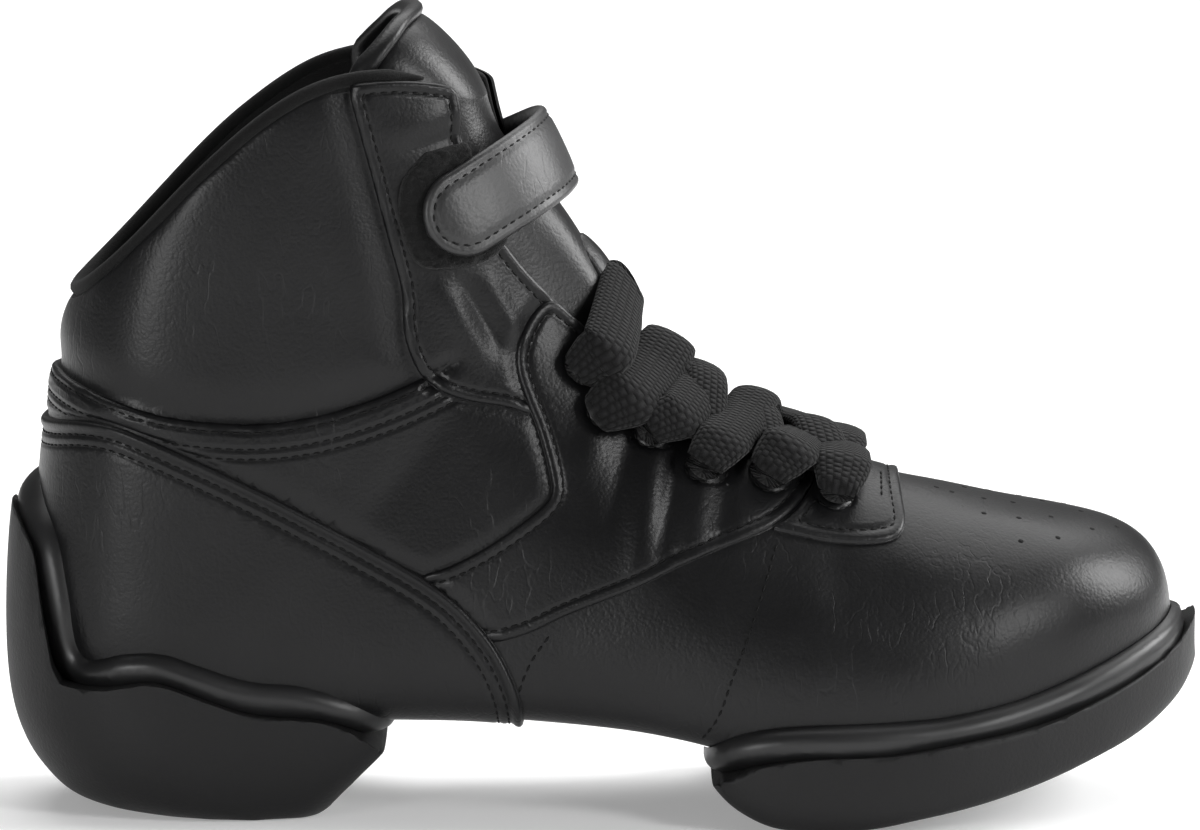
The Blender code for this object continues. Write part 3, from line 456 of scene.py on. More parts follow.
def close_back(bm, normals):
    """Gives an open panel its back, joined to its face along the edge."""
    bmesh.ops.triangulate(bm, faces=[f for f in bm.faces if len(f.verts) > 4])
    rim = [e for e in bm.edges if e.is_boundary]
    front = list(bm.verts)
    made = bmesh.ops.duplicate(bm, geom=front + list(bm.edges) + list(bm.faces))
    faces = [g for g in made["geom"] if isinstance(g, bmesh.types.BMFace)]
    bmesh.ops.reverse_faces(bm, faces=faces)
    twin = made["vert_map"]
    for v in front:
        base, _, _, _ = skin_tree.find_nearest(v.co)
        twin[v].co = base + normals[v] * PANEL_BACK
    for e in rim:
        a, b = e.verts
        face = e.link_faces[0]
        loop = next(lp for lp in face.loops if lp.edge == e)
        first, second = loop.vert, loop.link_loop_next.vert
        bm.faces.new((second, first, twin[first], twin[second]))


def skin_normal(point):
    """The upper's smooth outward normal nearest a point."""
    place, _, index, _ = skin_tree.find_nearest(point)
    total = Vector()
    for corner, normal in skin_faces[index]:
        total += normal / max((corner - place).length, 0.05)
    return total.normalized()


def heading(places, k):
    """Which way a line of places runs at one of them."""
    return (places[min(k + 1, len(places) - 1)] - places[max(k - 1, 0)]).normalized()


def sweep(bm, places, normals, widths, heights, sides, square=1.0, uv=None):
    """A cord or roll of oval section along a line of places, lying flat to the normals."""
    rings, run = [], 0.0
    for k, p in enumerate(places):
        way = heading(places, k)
        across = normals[k].cross(way).normalized()
        up = way.cross(across).normalized()
        ring = []
        for i in range(sides):
            a = 2 * math.pi * i / sides
            c, s = math.cos(a), math.sin(a)
            c = math.copysign(abs(c) ** square, c)
            s = math.copysign(abs(s) ** square, s)
            ring.append(bm.verts.new(p + across * c * widths[k] / 2 + up * s * heights[k] / 2))
        run += (p - places[k - 1]).length if k else 0.0
        rings.append((ring, run))
    for (ra, sa), (rb, sb) in zip(rings, rings[1:]):
        for i in range(sides):
            j = (i + 1) % sides
            face = bm.faces.new((ra[i], rb[i], rb[j], ra[j]))
            if uv:
                for loop, value in zip(face.loops, ((i, sa), (i, sb), (i + 1, sb), (i + 1, sa))):
                    loop[uv].uv = (value[0] / sides, value[1])
    for ring, run in (rings[0], rings[-1]):
        face = bm.faces.new(ring if ring is rings[0][0] else ring[::-1])
        if uv:
            for loop in face.loops:
                loop[uv].uv = (0.25, run)
    bmesh.ops.recalc_face_normals(bm, faces=bm.faces)
    return bm


def closed_tube(bm, rings):
    """Joins rings of vertices one to the next, closes both ends and turns all faces out."""
    for ra, rb in zip(rings, rings[1:]):
        for i in range(len(ra)):
            j = (i + 1) % len(ra)
            bm.faces.new((ra[i], ra[j], rb[j], rb[i]))
    bm.faces.new(rings[0][::-1])
    bm.faces.new(rings[-1])
    bmesh.ops.recalc_face_normals(bm, faces=bm.faces)
    return bm


def resample(points, pitch):
    """Evenly spaced (place, normal, way) along a chain of (place, normal)."""
    places = [p for p, _ in points]
    lengths = [0.0]
    for a, b in zip(places, places[1:]):
        lengths.append(lengths[-1] + (b - a).length)
    total = lengths[-1]
    count = int(total / pitch)
    out, i = [], 0
    for k in range(count):
        at = (k + 0.5) * total / max(count, 1)
        while i < len(lengths) - 2 and lengths[i + 1] < at:
            i += 1
        t = (at - lengths[i]) / max(lengths[i + 1] - lengths[i], 1e-6)
        j = max(i - 1, 0)
        m = min(i + 2, len(places) - 1)
        normal = points[i][1].lerp(points[i + 1][1], t).normalized()
        out.append((places[i].lerp(places[i + 1], t), normal, (places[m] - places[j]).normalized()))
    return out


def add_stitches(name, chains, material, sink=0.05):
    """A row of thread stitches along each chain."""
    bm = bmesh.new()
    single = bmesh.new()
    bmesh.ops.create_uvsphere(single, u_segments=6, v_segments=4, radius=1.0,
                              matrix=Matrix.Rotation(math.pi / 2, 4, "Y"))
    stitch = bpy.data.meshes.new("stitch")
    single.to_mesh(stitch)
    single.free()
    for chain in chains:
        for place, normal, way in resample(chain, STITCH_PITCH):
            across = normal.cross(way).normalized()
            up = way.cross(across).normalized()
            turn = Matrix((way * STITCH_LENGTH / 2, across * STITCH_WIDTH / 2,
                           up * STITCH_WIDTH / 2)).transposed()
            matrix = Matrix.Translation(place + normal * sink) @ turn.to_4x4()
            stitch.transform(matrix)
            bm.from_mesh(stitch)
            stitch.transform(matrix.inverted())
    bpy.data.meshes.remove(stitch)
    return piece(name, bm, material)


# Materials


def new_material(name, colour, roughness):
    material = bpy.data.materials.new(name)
    material.use_nodes = True
    shader = material.node_tree.nodes["Principled BSDF"]
    shader.inputs["Base Color"].default_value = (*colour, 1)
    shader.inputs["Roughness"].default_value = roughness
    return material, material.node_tree, shader


class Wiring:
    """Short ways to add a material's nodes."""

    def __init__(self, tree_, shader):
        self.tree, self.shader = tree_, shader
        self.coordinate = tree_.nodes.new("ShaderNodeTexCoord")

    def node(self, kind, inputs=None, **settings):
        n = self.tree.nodes.new("ShaderNode" + kind)
        for key, value in settings.items():
            setattr(n, key, value)
        for key, value in (inputs or {}).items():
            if isinstance(value, bpy.types.NodeSocket):
                self.tree.links.new(value, n.inputs[key])
            else:
                n.inputs[key].default_value = value
        return n

    def link(self, socket, name):
        self.tree.links.new(socket, self.shader.inputs[name])

    def noise(self, scale, detail=3.0, roughness=0.55, vector=None):
        inputs = {"Vector": vector or self.coordinate.outputs["Object"], "Scale": scale,
                  "Detail": detail, "Roughness": roughness}
        return self.node("TexNoise", inputs).outputs["Fac"]

    def cells(self, scale):
        inputs = {"Vector": self.coordinate.outputs["Object"], "Scale": scale}
        return self.node("TexVoronoi", inputs, feature="F1").outputs["Distance"]

    def mapped(self, value, low, high, to_low, to_high):
        return self.node("MapRange", {"Value": value, "From Min": low, "From Max": high,
                                      "To Min": to_low, "To Max": to_high}).outputs["Result"]

    def sum(self, a, b, weight=1.0):
        return self.node("Math", {0: b, 1: weight, 2: a}, operation="MULTIPLY_ADD").outputs[0]

    def colours(self, factor, dark, light):
        n = self.node("ValToRGB", {"Fac": factor})
        n.color_ramp.elements[0].color = (*dark, 1)
        n.color_ramp.elements[1].color = (*light, 1)
        return n.outputs["Color"]

    def bump(self, height, distance, strength):
        inputs = {"Height": height, "Distance": distance, "Strength": strength}
        return self.node("Bump", inputs).outputs["Normal"]


def leather(name, dark=(0.0026, 0.0026, 0.0029), light=(0.0070, 0.0070, 0.0074), shine=0.36,
            specular=0.24):
    """Soft black full-grain leather: small pebbles, fine creases and an uneven sheen."""
    material, tree_, shader = new_material(name, dark, shine)
    w = Wiring(tree_, shader)
    soft = w.noise(28.0, 3.0)
    fine = w.noise(900.0, 2.0, 0.6)
    pebble = w.cells(1250.0)
    drawn = w.node("Mapping", {"Vector": w.coordinate.outputs["Object"], "Scale": (1.0, 1.0, 0.38)})
    crease = w.noise(210.0, 2.0, 0.5, drawn.outputs["Vector"])
    crease = w.node("Math", {0: crease, 1: 0.5}, operation="SUBTRACT").outputs[0]
    crease = w.node("Math", {0: crease}, operation="ABSOLUTE").outputs[0]
    crease = w.mapped(crease, 0.0, 0.035, 1.0, 0.0)
    some = w.mapped(soft, 0.45, 0.62, 0.0, 1.0)
    crease = w.node("Math", {0: crease, 1: some}, operation="MULTIPLY").outputs[0]
    tone = w.sum(w.mapped(soft, 0.35, 0.65, 0.0, 0.7), fine, 0.3)
    w.link(w.colours(tone, dark, light), "Base Color")
    rough = w.sum(w.mapped(soft, 0.3, 0.7, shine - 0.05, shine + 0.05), fine, 0.06)
    w.link(rough, "Roughness")
    grain_height = w.sum(w.sum(fine, pebble, -0.6), crease, -0.9)
    w.link(w.bump(grain_height, 0.0001, 0.6), "Normal")
    shader.inputs["Specular IOR Level"].default_value = specular
    shader.inputs["Coat Weight"].default_value = 0.05
    shader.inputs["Coat Roughness"].default_value = 0.3
    return material


def rubber(name, dark, light, shine, pebble_scale, pebble_depth, specular=0.25):
    """Moulded rubber with a fine cast texture."""
    material, tree_, shader = new_material(name, dark, shine)
    w = Wiring(tree_, shader)
    soft = w.noise(35.0, 3.0)
    fine = w.noise(pebble_scale, 3.0, 0.6)
    w.link(w.colours(soft, dark, light), "Base Color")
    w.link(w.mapped(soft, 0.3, 0.7, shine - 0.06, shine + 0.06), "Roughness")
    w.link(w.bump(fine, pebble_depth, 0.7), "Normal")
    shader.inputs["Specular IOR Level"].default_value = specular
    return material


def fabric(name, dark, light, scale, depth, sheen=0.4):
    """Brushed or knitted black fabric."""
    material, tree_, shader = new_material(name, dark, 0.95)
    w = Wiring(tree_, shader)
    nap = w.noise(scale, 5.0, 0.7)
    soft = w.noise(60.0, 2.0)
    tone = w.sum(w.mapped(soft, 0.3, 0.7, 0.0, 0.5), nap, 0.5)
    w.link(w.colours(tone, dark, light), "Base Color")
    w.link(w.bump(nap, depth, 0.9), "Normal")
    w.link(w.mapped(nap, 0.3, 0.7, 0.85, 1.0), "Roughness")
    shader.inputs["Sheen Weight"].default_value = sheen
    shader.inputs["Sheen Roughness"].default_value = 0.5
    shader.inputs["Specular IOR Level"].default_value = 0.2
    return material


def woven_lace(name):
    """Fat woven lace: rows of small round stitches, each row set half a stitch off the last."""
    material, tree_, shader = new_material(name, (0.01, 0.01, 0.01), 0.9)
    w = Wiring(tree_, shader)
    split = w.node("SeparateXYZ", {"Vector": w.coordinate.outputs["UV"]})

    def math_node(operation, a, b=0.0):
        return w.node("Math", {0: a, 1: b}, operation=operation).outputs[0]

    ribs = math_node("MULTIPLY", split.outputs["X"], 20.0)
    along = math_node("MULTIPLY", split.outputs["Y"], 0.72)
    along = w.sum(along, math_node("FLOOR", ribs), 0.5)
    across_bump = math_node("SINE", math_node("MULTIPLY", math_node("FRACT", ribs), math.pi))
    along_bump = math_node("SINE", math_node("MULTIPLY", math_node("FRACT", along), math.pi))
    height = math_node("MULTIPLY", across_bump, along_bump)
    nap = w.noise(2600.0, 3.0)
    # Painted shade: the colour follows the weave's height, so stitch crowns are lighter and the
    # gaps between them near black
    w.link(w.colours(height, (0.001, 0.001, 0.001), (0.0078, 0.0078, 0.0082)), "Base Color")
    w.link(w.bump(w.sum(height, nap, 0.35), 0.0004, 0.9), "Normal")
    w.link(w.mapped(nap, 0.3, 0.7, 0.75, 0.95), "Roughness")
    shader.inputs["Specular IOR Level"].default_value = 0.18
    shader.inputs["Sheen Weight"].default_value = 0.05
    shader.inputs["Sheen Roughness"].default_value = 0.5
    return material


def thread_material(name):
    material, tree_, shader = new_material(name, (0.006, 0.006, 0.006), 0.6)
    w = Wiring(tree_, shader)
    twist = w.noise(3000.0, 2.0)
    w.link(w.colours(twist, (0.0015, 0.0015, 0.0015), (0.007, 0.007, 0.007)), "Base Color")
    w.link(w.bump(twist, 0.0001, 0.6), "Normal")
    shader.inputs["Specular IOR Level"].default_value = 0.15
    return material


def enamelled_metal(name):
    material, tree_, shader = new_material(name, (0.02, 0.02, 0.02), 0.32)
    w = Wiring(tree_, shader)
    wear = w.noise(500.0, 3.0)
    w.link(w.colours(wear, (0.012, 0.012, 0.012), (0.035, 0.035, 0.036)), "Base Color")
    w.link(w.mapped(wear, 0.3, 0.7, 0.25, 0.42), "Roughness")
    shader.inputs["Metallic"].default_value = 0.7
    return material


LEATHER_UPPER = leather("vamp_leather", shine=0.36)
LEATHER_PANEL = leather("panel_leather", shine=0.34)
LEATHER_COUNTER = leather("counter_leather", shine=0.36)
LEATHER_TONGUE = leather("tongue_leather", shine=0.36, specular=0.32)
LEATHER_STRAP = leather("strap_leather", (0.007, 0.007, 0.007), (0.016, 0.016, 0.017),
                        shine=0.42, specular=0.55)
LINING = fabric("brushed_lining", (0.0018, 0.0018, 0.0018), (0.006, 0.006, 0.006),
                1500.0, 0.0003, 0.06)
PILE = fabric("looped_pile", (0.0012, 0.0012, 0.0012), (0.006, 0.006, 0.006), 1100.0, 0.0011, 0.08)
INSOLE_CLOTH = fabric("insole_cloth", (0.008, 0.008, 0.008), (0.02, 0.02, 0.02), 1800.0, 0.0002)
LACE_YARN = woven_lace("woven_lace_yarn")
THREAD = thread_material("seam_thread")
OUTSOLE_RUBBER = rubber("outsole_rubber", (0.0045, 0.0045, 0.0048), (0.0085, 0.0085, 0.0088),
                        0.55, 1100.0, 0.00016)
RIM_RUBBER = rubber("rim_rubber", (0.006, 0.006, 0.0063), (0.011, 0.011, 0.0115),
                    0.4, 500.0, 0.00003, 0.45)
RING_ENAMEL = enamelled_metal("eyelet_enamel")
# Near-black plugs for the pinholes: painted shade in place of the holes' dark insides
PINHOLE_SHADE = rubber("pinhole_painted_shade", (0.0008, 0.0008, 0.0008), (0.0015, 0.0015, 0.0015),
              0.9, 900.0, 0.00002)


# The upper

def fold_height(points):
    """How far soft folds and the padding raise or lower the leather at each point."""
    flat = points[:, (0, 2)]
    out = np.zeros(len(points))
    for f in FOLDS:
        a, b = np.array((f.x0, f.z0)), np.array((f.x1, f.z1))
        along = b - a
        t = np.clip(((flat - a) @ along) / (along @ along), 0, 1)
        away = np.linalg.norm(flat - a - t[:, None] * along, axis=1)
        fade = np.sin(np.pi * np.clip(0.08 + 0.84 * t, 0, 1)) ** 0.6
        on_side = ramp(points[:, 1] * f.side, 4.0, 14.0)
        out += f.height * np.exp(-((away / f.width) ** 2)) * fade * on_side
    pad = side_depth(points, pad_outline)
    out -= PAD_DIP * np.exp(-((pad / np.where(pad > 0, PAD_ROLL, PAD_LIP)) ** 2))
    swell = np.array([noise.noise(Vector(p) / SWELL_SPAN) for p in points])
    return out + SWELL_HEIGHT * swell


def with_folds(bm, weight=None):
    """Moves the leather out and in by its folds."""
    bm.normal_update()
    heights = fold_height(coordinates(bm))
    if weight is not None:
        heights = heights * weight
    moves = [v.normal * h for v, h in zip(bm.verts, heights)]
    for v, move in zip(bm.verts, moves):
        v.co = v.co + move
    bm.normal_update()
    return bm


def side_depth(points, outline):
    return depth_inside(points[:, (0, 2)], outline)


def closed_line(*parts):
    return np.array([tuple(p) for part in parts for p in part])


pad_outline = closed_line(
    smooth_line(BAND_TOP), smooth_line(ANKLE_EDGE)[::-1][20:],
    [(30.3, 200.0), (-80.0, 200.0), (-80.0, 104.0)],
)
smooth_skin = upper_skin()
smooth_tree = tree(smooth_skin)
skin = with_folds(smooth_skin)
edge_distance = free_edge_distance(skin)
skin_tree = tree(skin)
skin_faces = [[(v.co.copy(), v.normal.copy()) for v in f.verts] for f in skin.faces]
seams = []

counter_outline = closed_line(
    smooth_line(COUNTER_EDGE), [(67.9, -20.0), (-70.0, -20.0), (-70.0, 84.8)],
)
wing_outline = closed_line(
    smooth_line(WING_BACK), [(95.0, 126.4), (133.5, 100.0)], smooth_line(TIP_SEAM)[::-1],
    smooth_line(WING_FRONT)[::-1], [(30.0, 40.0)],
)
tip_outline = closed_line(
    smooth_line(TIP_SEAM), [(140.0, 95.0), (149.2, 90.0)], smooth_line(TIP_FRONT)[::-1],
)
ankle_outline = closed_line(
    smooth_line(ANKLE_EDGE), [(84.5, 86.9), (116.0, 126.4), (97.6, 190.0), (30.3, 190.0)],
)
band_outline = closed_line(
    smooth_line(BAND_TOP), [(140.0, 101.0), (140.0, -40.0), (-90.0, -40.0), (-90.0, 101.0)],
)
band_area = np.array([(-90.0, 110.0), (90.0, 110.0), (90.0, 62.0), (61.0, 41.0), (-90.0, -40.0)])
pile_outline = smooth_line(PILE_EDGE + PILE_EDGE[:1])[:-1]


def inside(outline):
    """A panel's depth function, from its outline in side view."""
    return lambda points: side_depth(points, outline)


def inside_edge(outline):
    """The same for a panel that also stops short of the upper's free edge."""
    return lambda points: np.minimum(side_depth(points, outline),
                                     edge_distance(points) - EDGE_MARGIN)


def under(*outlines, area=None):
    """Trims a panel a little way in under its neighbours, and to an area."""
    def trim(points):
        depth = UNDERLAP - np.maximum.reduce([side_depth(points, o) for o in outlines])
        return depth if area is None else np.minimum(depth, side_depth(points, area))
    return trim


def dip(*outlines):
    """Presses a panel down beside the neighbours that lie over it."""
    def relief(points, depths):
        away = np.maximum(-np.maximum.reduce([side_depth(points, o) for o in outlines]), 0)
        return -DIP_DEPTH * np.exp(-((away / DIP_SPAN) ** 2))
    return relief


# Edge profiles: (depth in from the edge, height over the upper)
FOLDED = [(0.0, 0.05), (0.12, 0.75), (0.4, 1.15), (0.9, 1.35), (1.6, 1.3), (2.4, 1.2)]
PIPED = [(0.0, 0.05), (0.15, 1.0), (0.5, 1.55), (1.0, 1.75), (1.6, 1.6), (2.2, 1.2), (2.6, 1.12),
         (3.1, 1.2), (4.0, 1.25)]
BANDED = [(0.0, 0.05), (0.2, 0.8), (0.6, 1.1), (1.2, 1.15), (3.2, 0.85), (4.2, 0.95), (9.0, 0.75)]


def with_rows(profile, rows):
    """The profile with a shallow groove at each stitched row."""
    near = {round(row + step * ROW_WIDTH, 3) for row in rows for step in (-2, -1, 0, 1, 2)}
    out = []
    for d in sorted({d for d, _ in profile} | near):
        h = float(np.interp(d, [a for a, _ in profile], [b for _, b in profile]))
        h -= sum(ROW_GROOVE * math.exp(-(((d - row) / ROW_WIDTH) ** 2)) for row in rows)
        out.append((d, h))
    return out


def build_upper():
    """The hollow upper: a copy of its solid, refined, lined inside."""
    bm = subdivided(joined(merged("upper")), 3)
    away = np.array([smooth_tree.find_nearest(v.co)[3] for v in bm.verts])
    bm.verts.index_update()
    for f in bm.faces:
        f.material_index = 0 if min(away[v.index] for v in f.verts) < 0.35 else 1
    with_folds(bm, 1 - ramp(away, 0.2, 1.2))
    return piece("upper_vamp_and_quarters", bm, [LEATHER_UPPER, LINING], ["upper"])


upper = build_upper()
panel("counter_panel", inside(counter_outline), PIPED, LEATHER_COUNTER, rows=(3.1, 5.4),
      replaces=["heel_counter"])
panel("wing_panel", inside_edge(wing_outline), FOLDED, LEATHER_PANEL, rows=(2.6,),
      replaces=["eyestay"], relief=dip(counter_outline), trim=under(counter_outline))
panel("tip_panel", inside_edge(tip_outline), FOLDED, LEATHER_PANEL, rows=(2.4,))
for side, name in ((OUTER, "lateral"), (INNER, "medial")):
    panel(f"ankle_cover_{name}", inside_edge(ankle_outline), FOLDED, LEATHER_PANEL, rows=(2.6,),
          replaces=[f"ankle_panel_{name}"], side=side,
          relief=dip(wing_outline), trim=under(wing_outline))
panel("quarter_band", inside(band_outline), BANDED, LEATHER_PANEL, rows=(2.0, 5.4, 7.6),
      relief=dip(counter_outline, ankle_outline, wing_outline),
      trim=under(counter_outline, ankle_outline, wing_outline, area=band_area))
add_stitches("panel_stitching", seams, THREAD)


# Soles


RIM_BEAD = [(0.0, 0.4), (0.3, 1.7), (0.8, 2.8), (1.5, 3.6), (2.4, 4.2), (3.9, 4.4)]
RIM_UNDERLAP = 1.7  # the bead goes on down behind the outsole's lip


def shifted(line, away):
    """A side-view line moved over to its right-hand side."""
    way = np.gradient(line, axis=0)
    way /= np.linalg.norm(way, axis=1)[:, None]
    return line + np.stack([way[:, 1], -way[:, 0]], axis=1) * away


def bead_fullness(points, depths):
    """The bead is fuller round the back of the heel and slimmer round the toe."""
    heel, toe = ramp(-points[:, 0], 32.0, 39.0), ramp(points[:, 0], 185.0, 205.0)
    return (1.4 * heel - 0.9 * toe) * ramp(depths, 0.0, 2.0)


def add_soles():
    """Each outsole with the glossy bead between it and the upper."""
    for end, top, bottom, past in (("heel", HEEL_RIM_TOP, HEEL_RIM_BOTTOM, -60.0),
                                   ("forefoot", FOREFOOT_RIM_TOP, FOREFOOT_RIM_BOTTOM, 230.0)):
        top, bottom = smooth_line(top), shifted(smooth_line(bottom), RIM_UNDERLAP)
        if end == "heel":
            outline = closed_line([(past, top[0][1] + 1.0)], top, bottom[::-1],
                                  [(past, bottom[0][1] + 1.0)])
        else:
            outline = closed_line(top, [(past, top[-1][1]), (past, bottom[-1][1])], bottom[::-1])
        panel(f"{end}_rim_bead", inside(outline), RIM_BEAD, RIM_RUBBER,
              replaces=[f"{end}_rim"],
              relief=bead_fullness, soften=3)
        sole = evenly_softened(subdivided(creased(joined(merged(f"{end}_outsole")), 38, 0.7), 3), 4)
        piece(f"{end}_unit", sole, OUTSOLE_RUBBER, [f"{end}_outsole"])


add_soles()
piece("inner_sole", remeshed(merged("insole"), 1.0, 3), INSOLE_CLOTH, ["insole"])
tongue_mesh = evenly_softened(subdivided(joined(merged("tongue")), 3), 14)
tongue_tree = tree(tongue_mesh)
tongue = piece("padded_tongue", tongue_mesh, LEATHER_TONGUE, ["tongue"])
for k in range(1, 7):
    for side in ("outer", "inner"):
        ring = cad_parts[f"eyelet_{side}_{k}"]
        ring.data.materials.clear()
        ring.data.materials.append(RING_ENAMEL)


# Soft trim


def run_lengths(line):
    """How far along a line each of its places lies."""
    return np.concatenate([[0], np.cumsum(np.linalg.norm(np.diff(line, axis=0), axis=1))])


def spaced(line, count):
    """A number of places at an even pitch along a line in space."""
    lengths = run_lengths(line)
    at = np.linspace(0, lengths[-1], count)
    return np.array([[np.interp(t, lengths, line[:, k]) for k in range(3)] for t in at])


def spline(points, count):
    """Evenly spaced places along a smooth line through a few, and its length."""
    line = smooth_line(points, 8)
    return [Vector(p) for p in spaced(line, count)], run_lengths(line)[-1]


def strap_face(run, offset):
    """Height of the strap's face over its middle plane, at a place in its plan."""
    edge = STRAP_HALF - abs(offset)
    if run < STRAP_HALF:
        edge = STRAP_HALF - math.hypot(STRAP_HALF - run, offset)
    edge = max(edge, 0.0)
    rolled = math.sqrt(max(0.0, 1 - (1 - min(edge / 1.1, 1.0)) ** 2))
    puff = 0.5 * (1 - math.exp(-((edge / 4.0) ** 2)))
    groove = 0.4 * math.exp(-(((edge - STRAP_SEAM) / 0.5) ** 2))
    return STRAP_THICKNESS / 2 * rolled + puff * rolled - groove


def from_side(x, z, side):
    """Where the upper's skin lies at a point seen from one side, if it is there."""
    return skin_tree.ray_cast(Vector((x, side * 120.0, z)), Vector((0.0, -side, 0.0)))[0]


def from_above(x, y):
    return skin_tree.ray_cast(Vector((x, y, 160.0)), Vector((0.0, 0.0, -1.0)))[0]


def add_strap():
    """The padded ankle strap with its rolled edge and stitched groove."""
    places, length = spline(STRAP_PATH, STRAP_RINGS)
    last = STRAP_RINGS - 1
    for p in places:
        hit = from_side(p.x, p.z, INNER)
        if p.y > STRAP_SEWN[0] and hit:
            lying = hit.y + LEATHER + STRAP_THICKNESS + 0.6
            p.y += (lying - p.y) * float(ramp(p.y, *STRAP_SEWN))
    across_side, across_ridge = Vector((-0.486, 0.0, 0.874)), Vector((-0.42, 0.0, 0.908))
    bm = bmesh.new()
    rings, frames = [], []
    for k, p in enumerate(places):
        way = heading(places, k)
        across = across_side.lerp(across_ridge, math.exp(-((p.y / 16.0) ** 2))).normalized()
        across = (across - way * across.dot(way)).normalized()
        normal = across.cross(way).normalized()
        if normal.dot(Vector((1.0, p.y * 0.2, 0.2))) < 0:
            normal = -normal
        frames.append((p - normal * STRAP_THICKNESS / 2, way, across, normal))
    for k, (p, way, across, normal) in enumerate(frames):
        run = max(length * k / last, 0.02)
        half = STRAP_HALF
        if run < STRAP_HALF:
            half = math.sqrt(max(STRAP_HALF**2 - (STRAP_HALF - run) ** 2, 0.01))
        ring = []
        for i in range(29):
            v = math.sin(math.pi / 2 * (i / 14 - 1))
            ring.append(bm.verts.new(p + across * half * v + normal * strap_face(run, half * v)))
        for i in range(27, 0, -3):
            v = math.sin(math.pi / 2 * (i / 14 - 1))
            back = normal * STRAP_THICKNESS / 2 * (1 - v**8)
            ring.append(bm.verts.new(p + across * half * v - back))
        rings.append(ring)
    closed_tube(bm, rings)
    seam_half = STRAP_HALF - STRAP_SEAM

    def stitched(place, offset):
        p, _, across, normal = place
        return p + across * offset + normal * (STRAP_THICKNESS / 2 - 0.15), normal

    straight = [f for f in frames if (f[0] - frames[0][0]).length > STRAP_HALF]
    for side in (-1, 1):
        strap_seams.append([stitched(f, side * seam_half) for f in straight])
    turn = []
    for angle in np.linspace(0.0, math.pi, 13):
        run = STRAP_HALF - seam_half * math.sin(angle)
        turn.append(stitched(frames[round(run / length * last)], math.cos(angle) * seam_half))
    strap_seams.append(turn)
    for run in (STRAP_SEAM, 9.0):  # two rows across the sewn end
        end = frames[last - round(run / length * last)]
        strap_seams.append([stitched(end, v) for v in np.linspace(-seam_half, seam_half, 9)])
    return piece("ankle_strap", bm, LEATHER_STRAP, ["strap"])


strap_seams = []
add_strap()
add_stitches("strap_stitching", strap_seams, THREAD, sink=0.0)


def fuzz(points, depths):
    """Small tufts of pile."""
    tufts = np.array([noise.noise(Vector(p) * 1.1) + 0.6 * noise.noise(Vector(p) * 2.3)
                      for p in points])
    return 0.7 * tufts * ramp(depths, -0.1, 0.3)


panel("pile_pad", inside(pile_outline),
      [(0.0, 0.9), (0.15, 2.0), (0.5, 2.7), (1.0, 3.0), (1.8, 3.1), (2.6, 3.1)], PILE,
      replaces=["pile_patch"], relief=fuzz, side=OUTER)


# Laces


def eyelet(number, side):
    low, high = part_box(f"eyelet_{'outer' if side < 0 else 'inner'}_{number}")
    return (low + high) / 2 / MM


def lace_bed():
    """What the laces lie on: the tongue and the panels' edges."""
    bm = merged("tongue")
    other = bpy.data.meshes.new("bed")
    skin.to_mesh(other)
    bm.from_mesh(other)
    bpy.data.meshes.remove(other)
    return tree(bm)


def on_bed(bed, point, outward, lift):
    hit, _, _, _ = bed.ray_cast(point + outward * 40.0, -outward)
    return (hit if hit else point) + outward * lift


def lace_run(bm, uv, bed, start, end, cross, reach=0.84, via=None, fat=1.0):
    """One run of lace: up out of its eyelet, over the tongue and in under the far edge."""
    a, b = start, end
    na, nb = skin_normal(a), skin_normal(b)
    way = (b - a).normalized()
    flat = (way - na * way.dot(na)).normalized()
    knots = [
        (a - na * 1.0 + flat * 1.0, na, 4.0, 3.0),
        (a + na * 0.5 - flat * 2.6, na, 6.4 * fat, 4.4),
        (a + na * 2.4 - flat * 3.3, na, 9.4 * fat, 4.6),
        (a + na * 3.8 + flat * 0.6, na, 12.0 * fat, LACE_THICKNESS + 0.1),
        (a + na * 4.1 + flat * 5.0, na, LACE_WIDTH * fat, LACE_THICKNESS + 0.2),
    ]
    for t in (0.4, 0.56, 0.7, reach) if reach > 0.6 else (0.36, reach):
        n = na.lerp(nb, t).normalized()
        lift = LACE_THICKNESS / 2 + 0.9 + cross * math.exp(-(((t - 0.5) / 0.2) ** 2))
        if t == reach:
            lift = LACE_THICKNESS / 2 + (0.4 if via is None else 1.3)  # over the loop
        chord = a.lerp(b, t)
        if via is not None:
            chord = chord.lerp(via, math.sin(math.pi * t) ** 0.7)
        squeeze = 1 - 0.18 * math.exp(-(((t - 0.62) / 0.2) ** 2))
        end_fade = 0.8 if t == reach else 1.0
        knots.append((on_bed(bed, chord, n, lift), n, LACE_WIDTH * fat * squeeze * end_fade,
                      LACE_THICKNESS * end_fade))
    places, _ = spline([k[0] for k in knots], LACE_RINGS)
    at = [0.0]
    for p, q in zip(knots, knots[1:]):
        at.append(at[-1] + (q[0] - p[0]).length)
    at = np.array(at) / at[-1]
    t = np.linspace(0, 1, LACE_RINGS)
    widths, heights = (np.interp(t, at, [k[i] for k in knots]) for i in (2, 3))
    normals = [Vector([np.interp(u, at, [k[1][i] for k in knots]) for i in range(3)]).normalized()
               for u in t]
    taper = np.sqrt(np.clip(1 - (1 - np.minimum(t / 0.03, 1)) ** 2, 0.05, 1))
    sweep(bm, places, normals, widths * taper, heights * taper, sides=20, square=0.93, uv=uv)


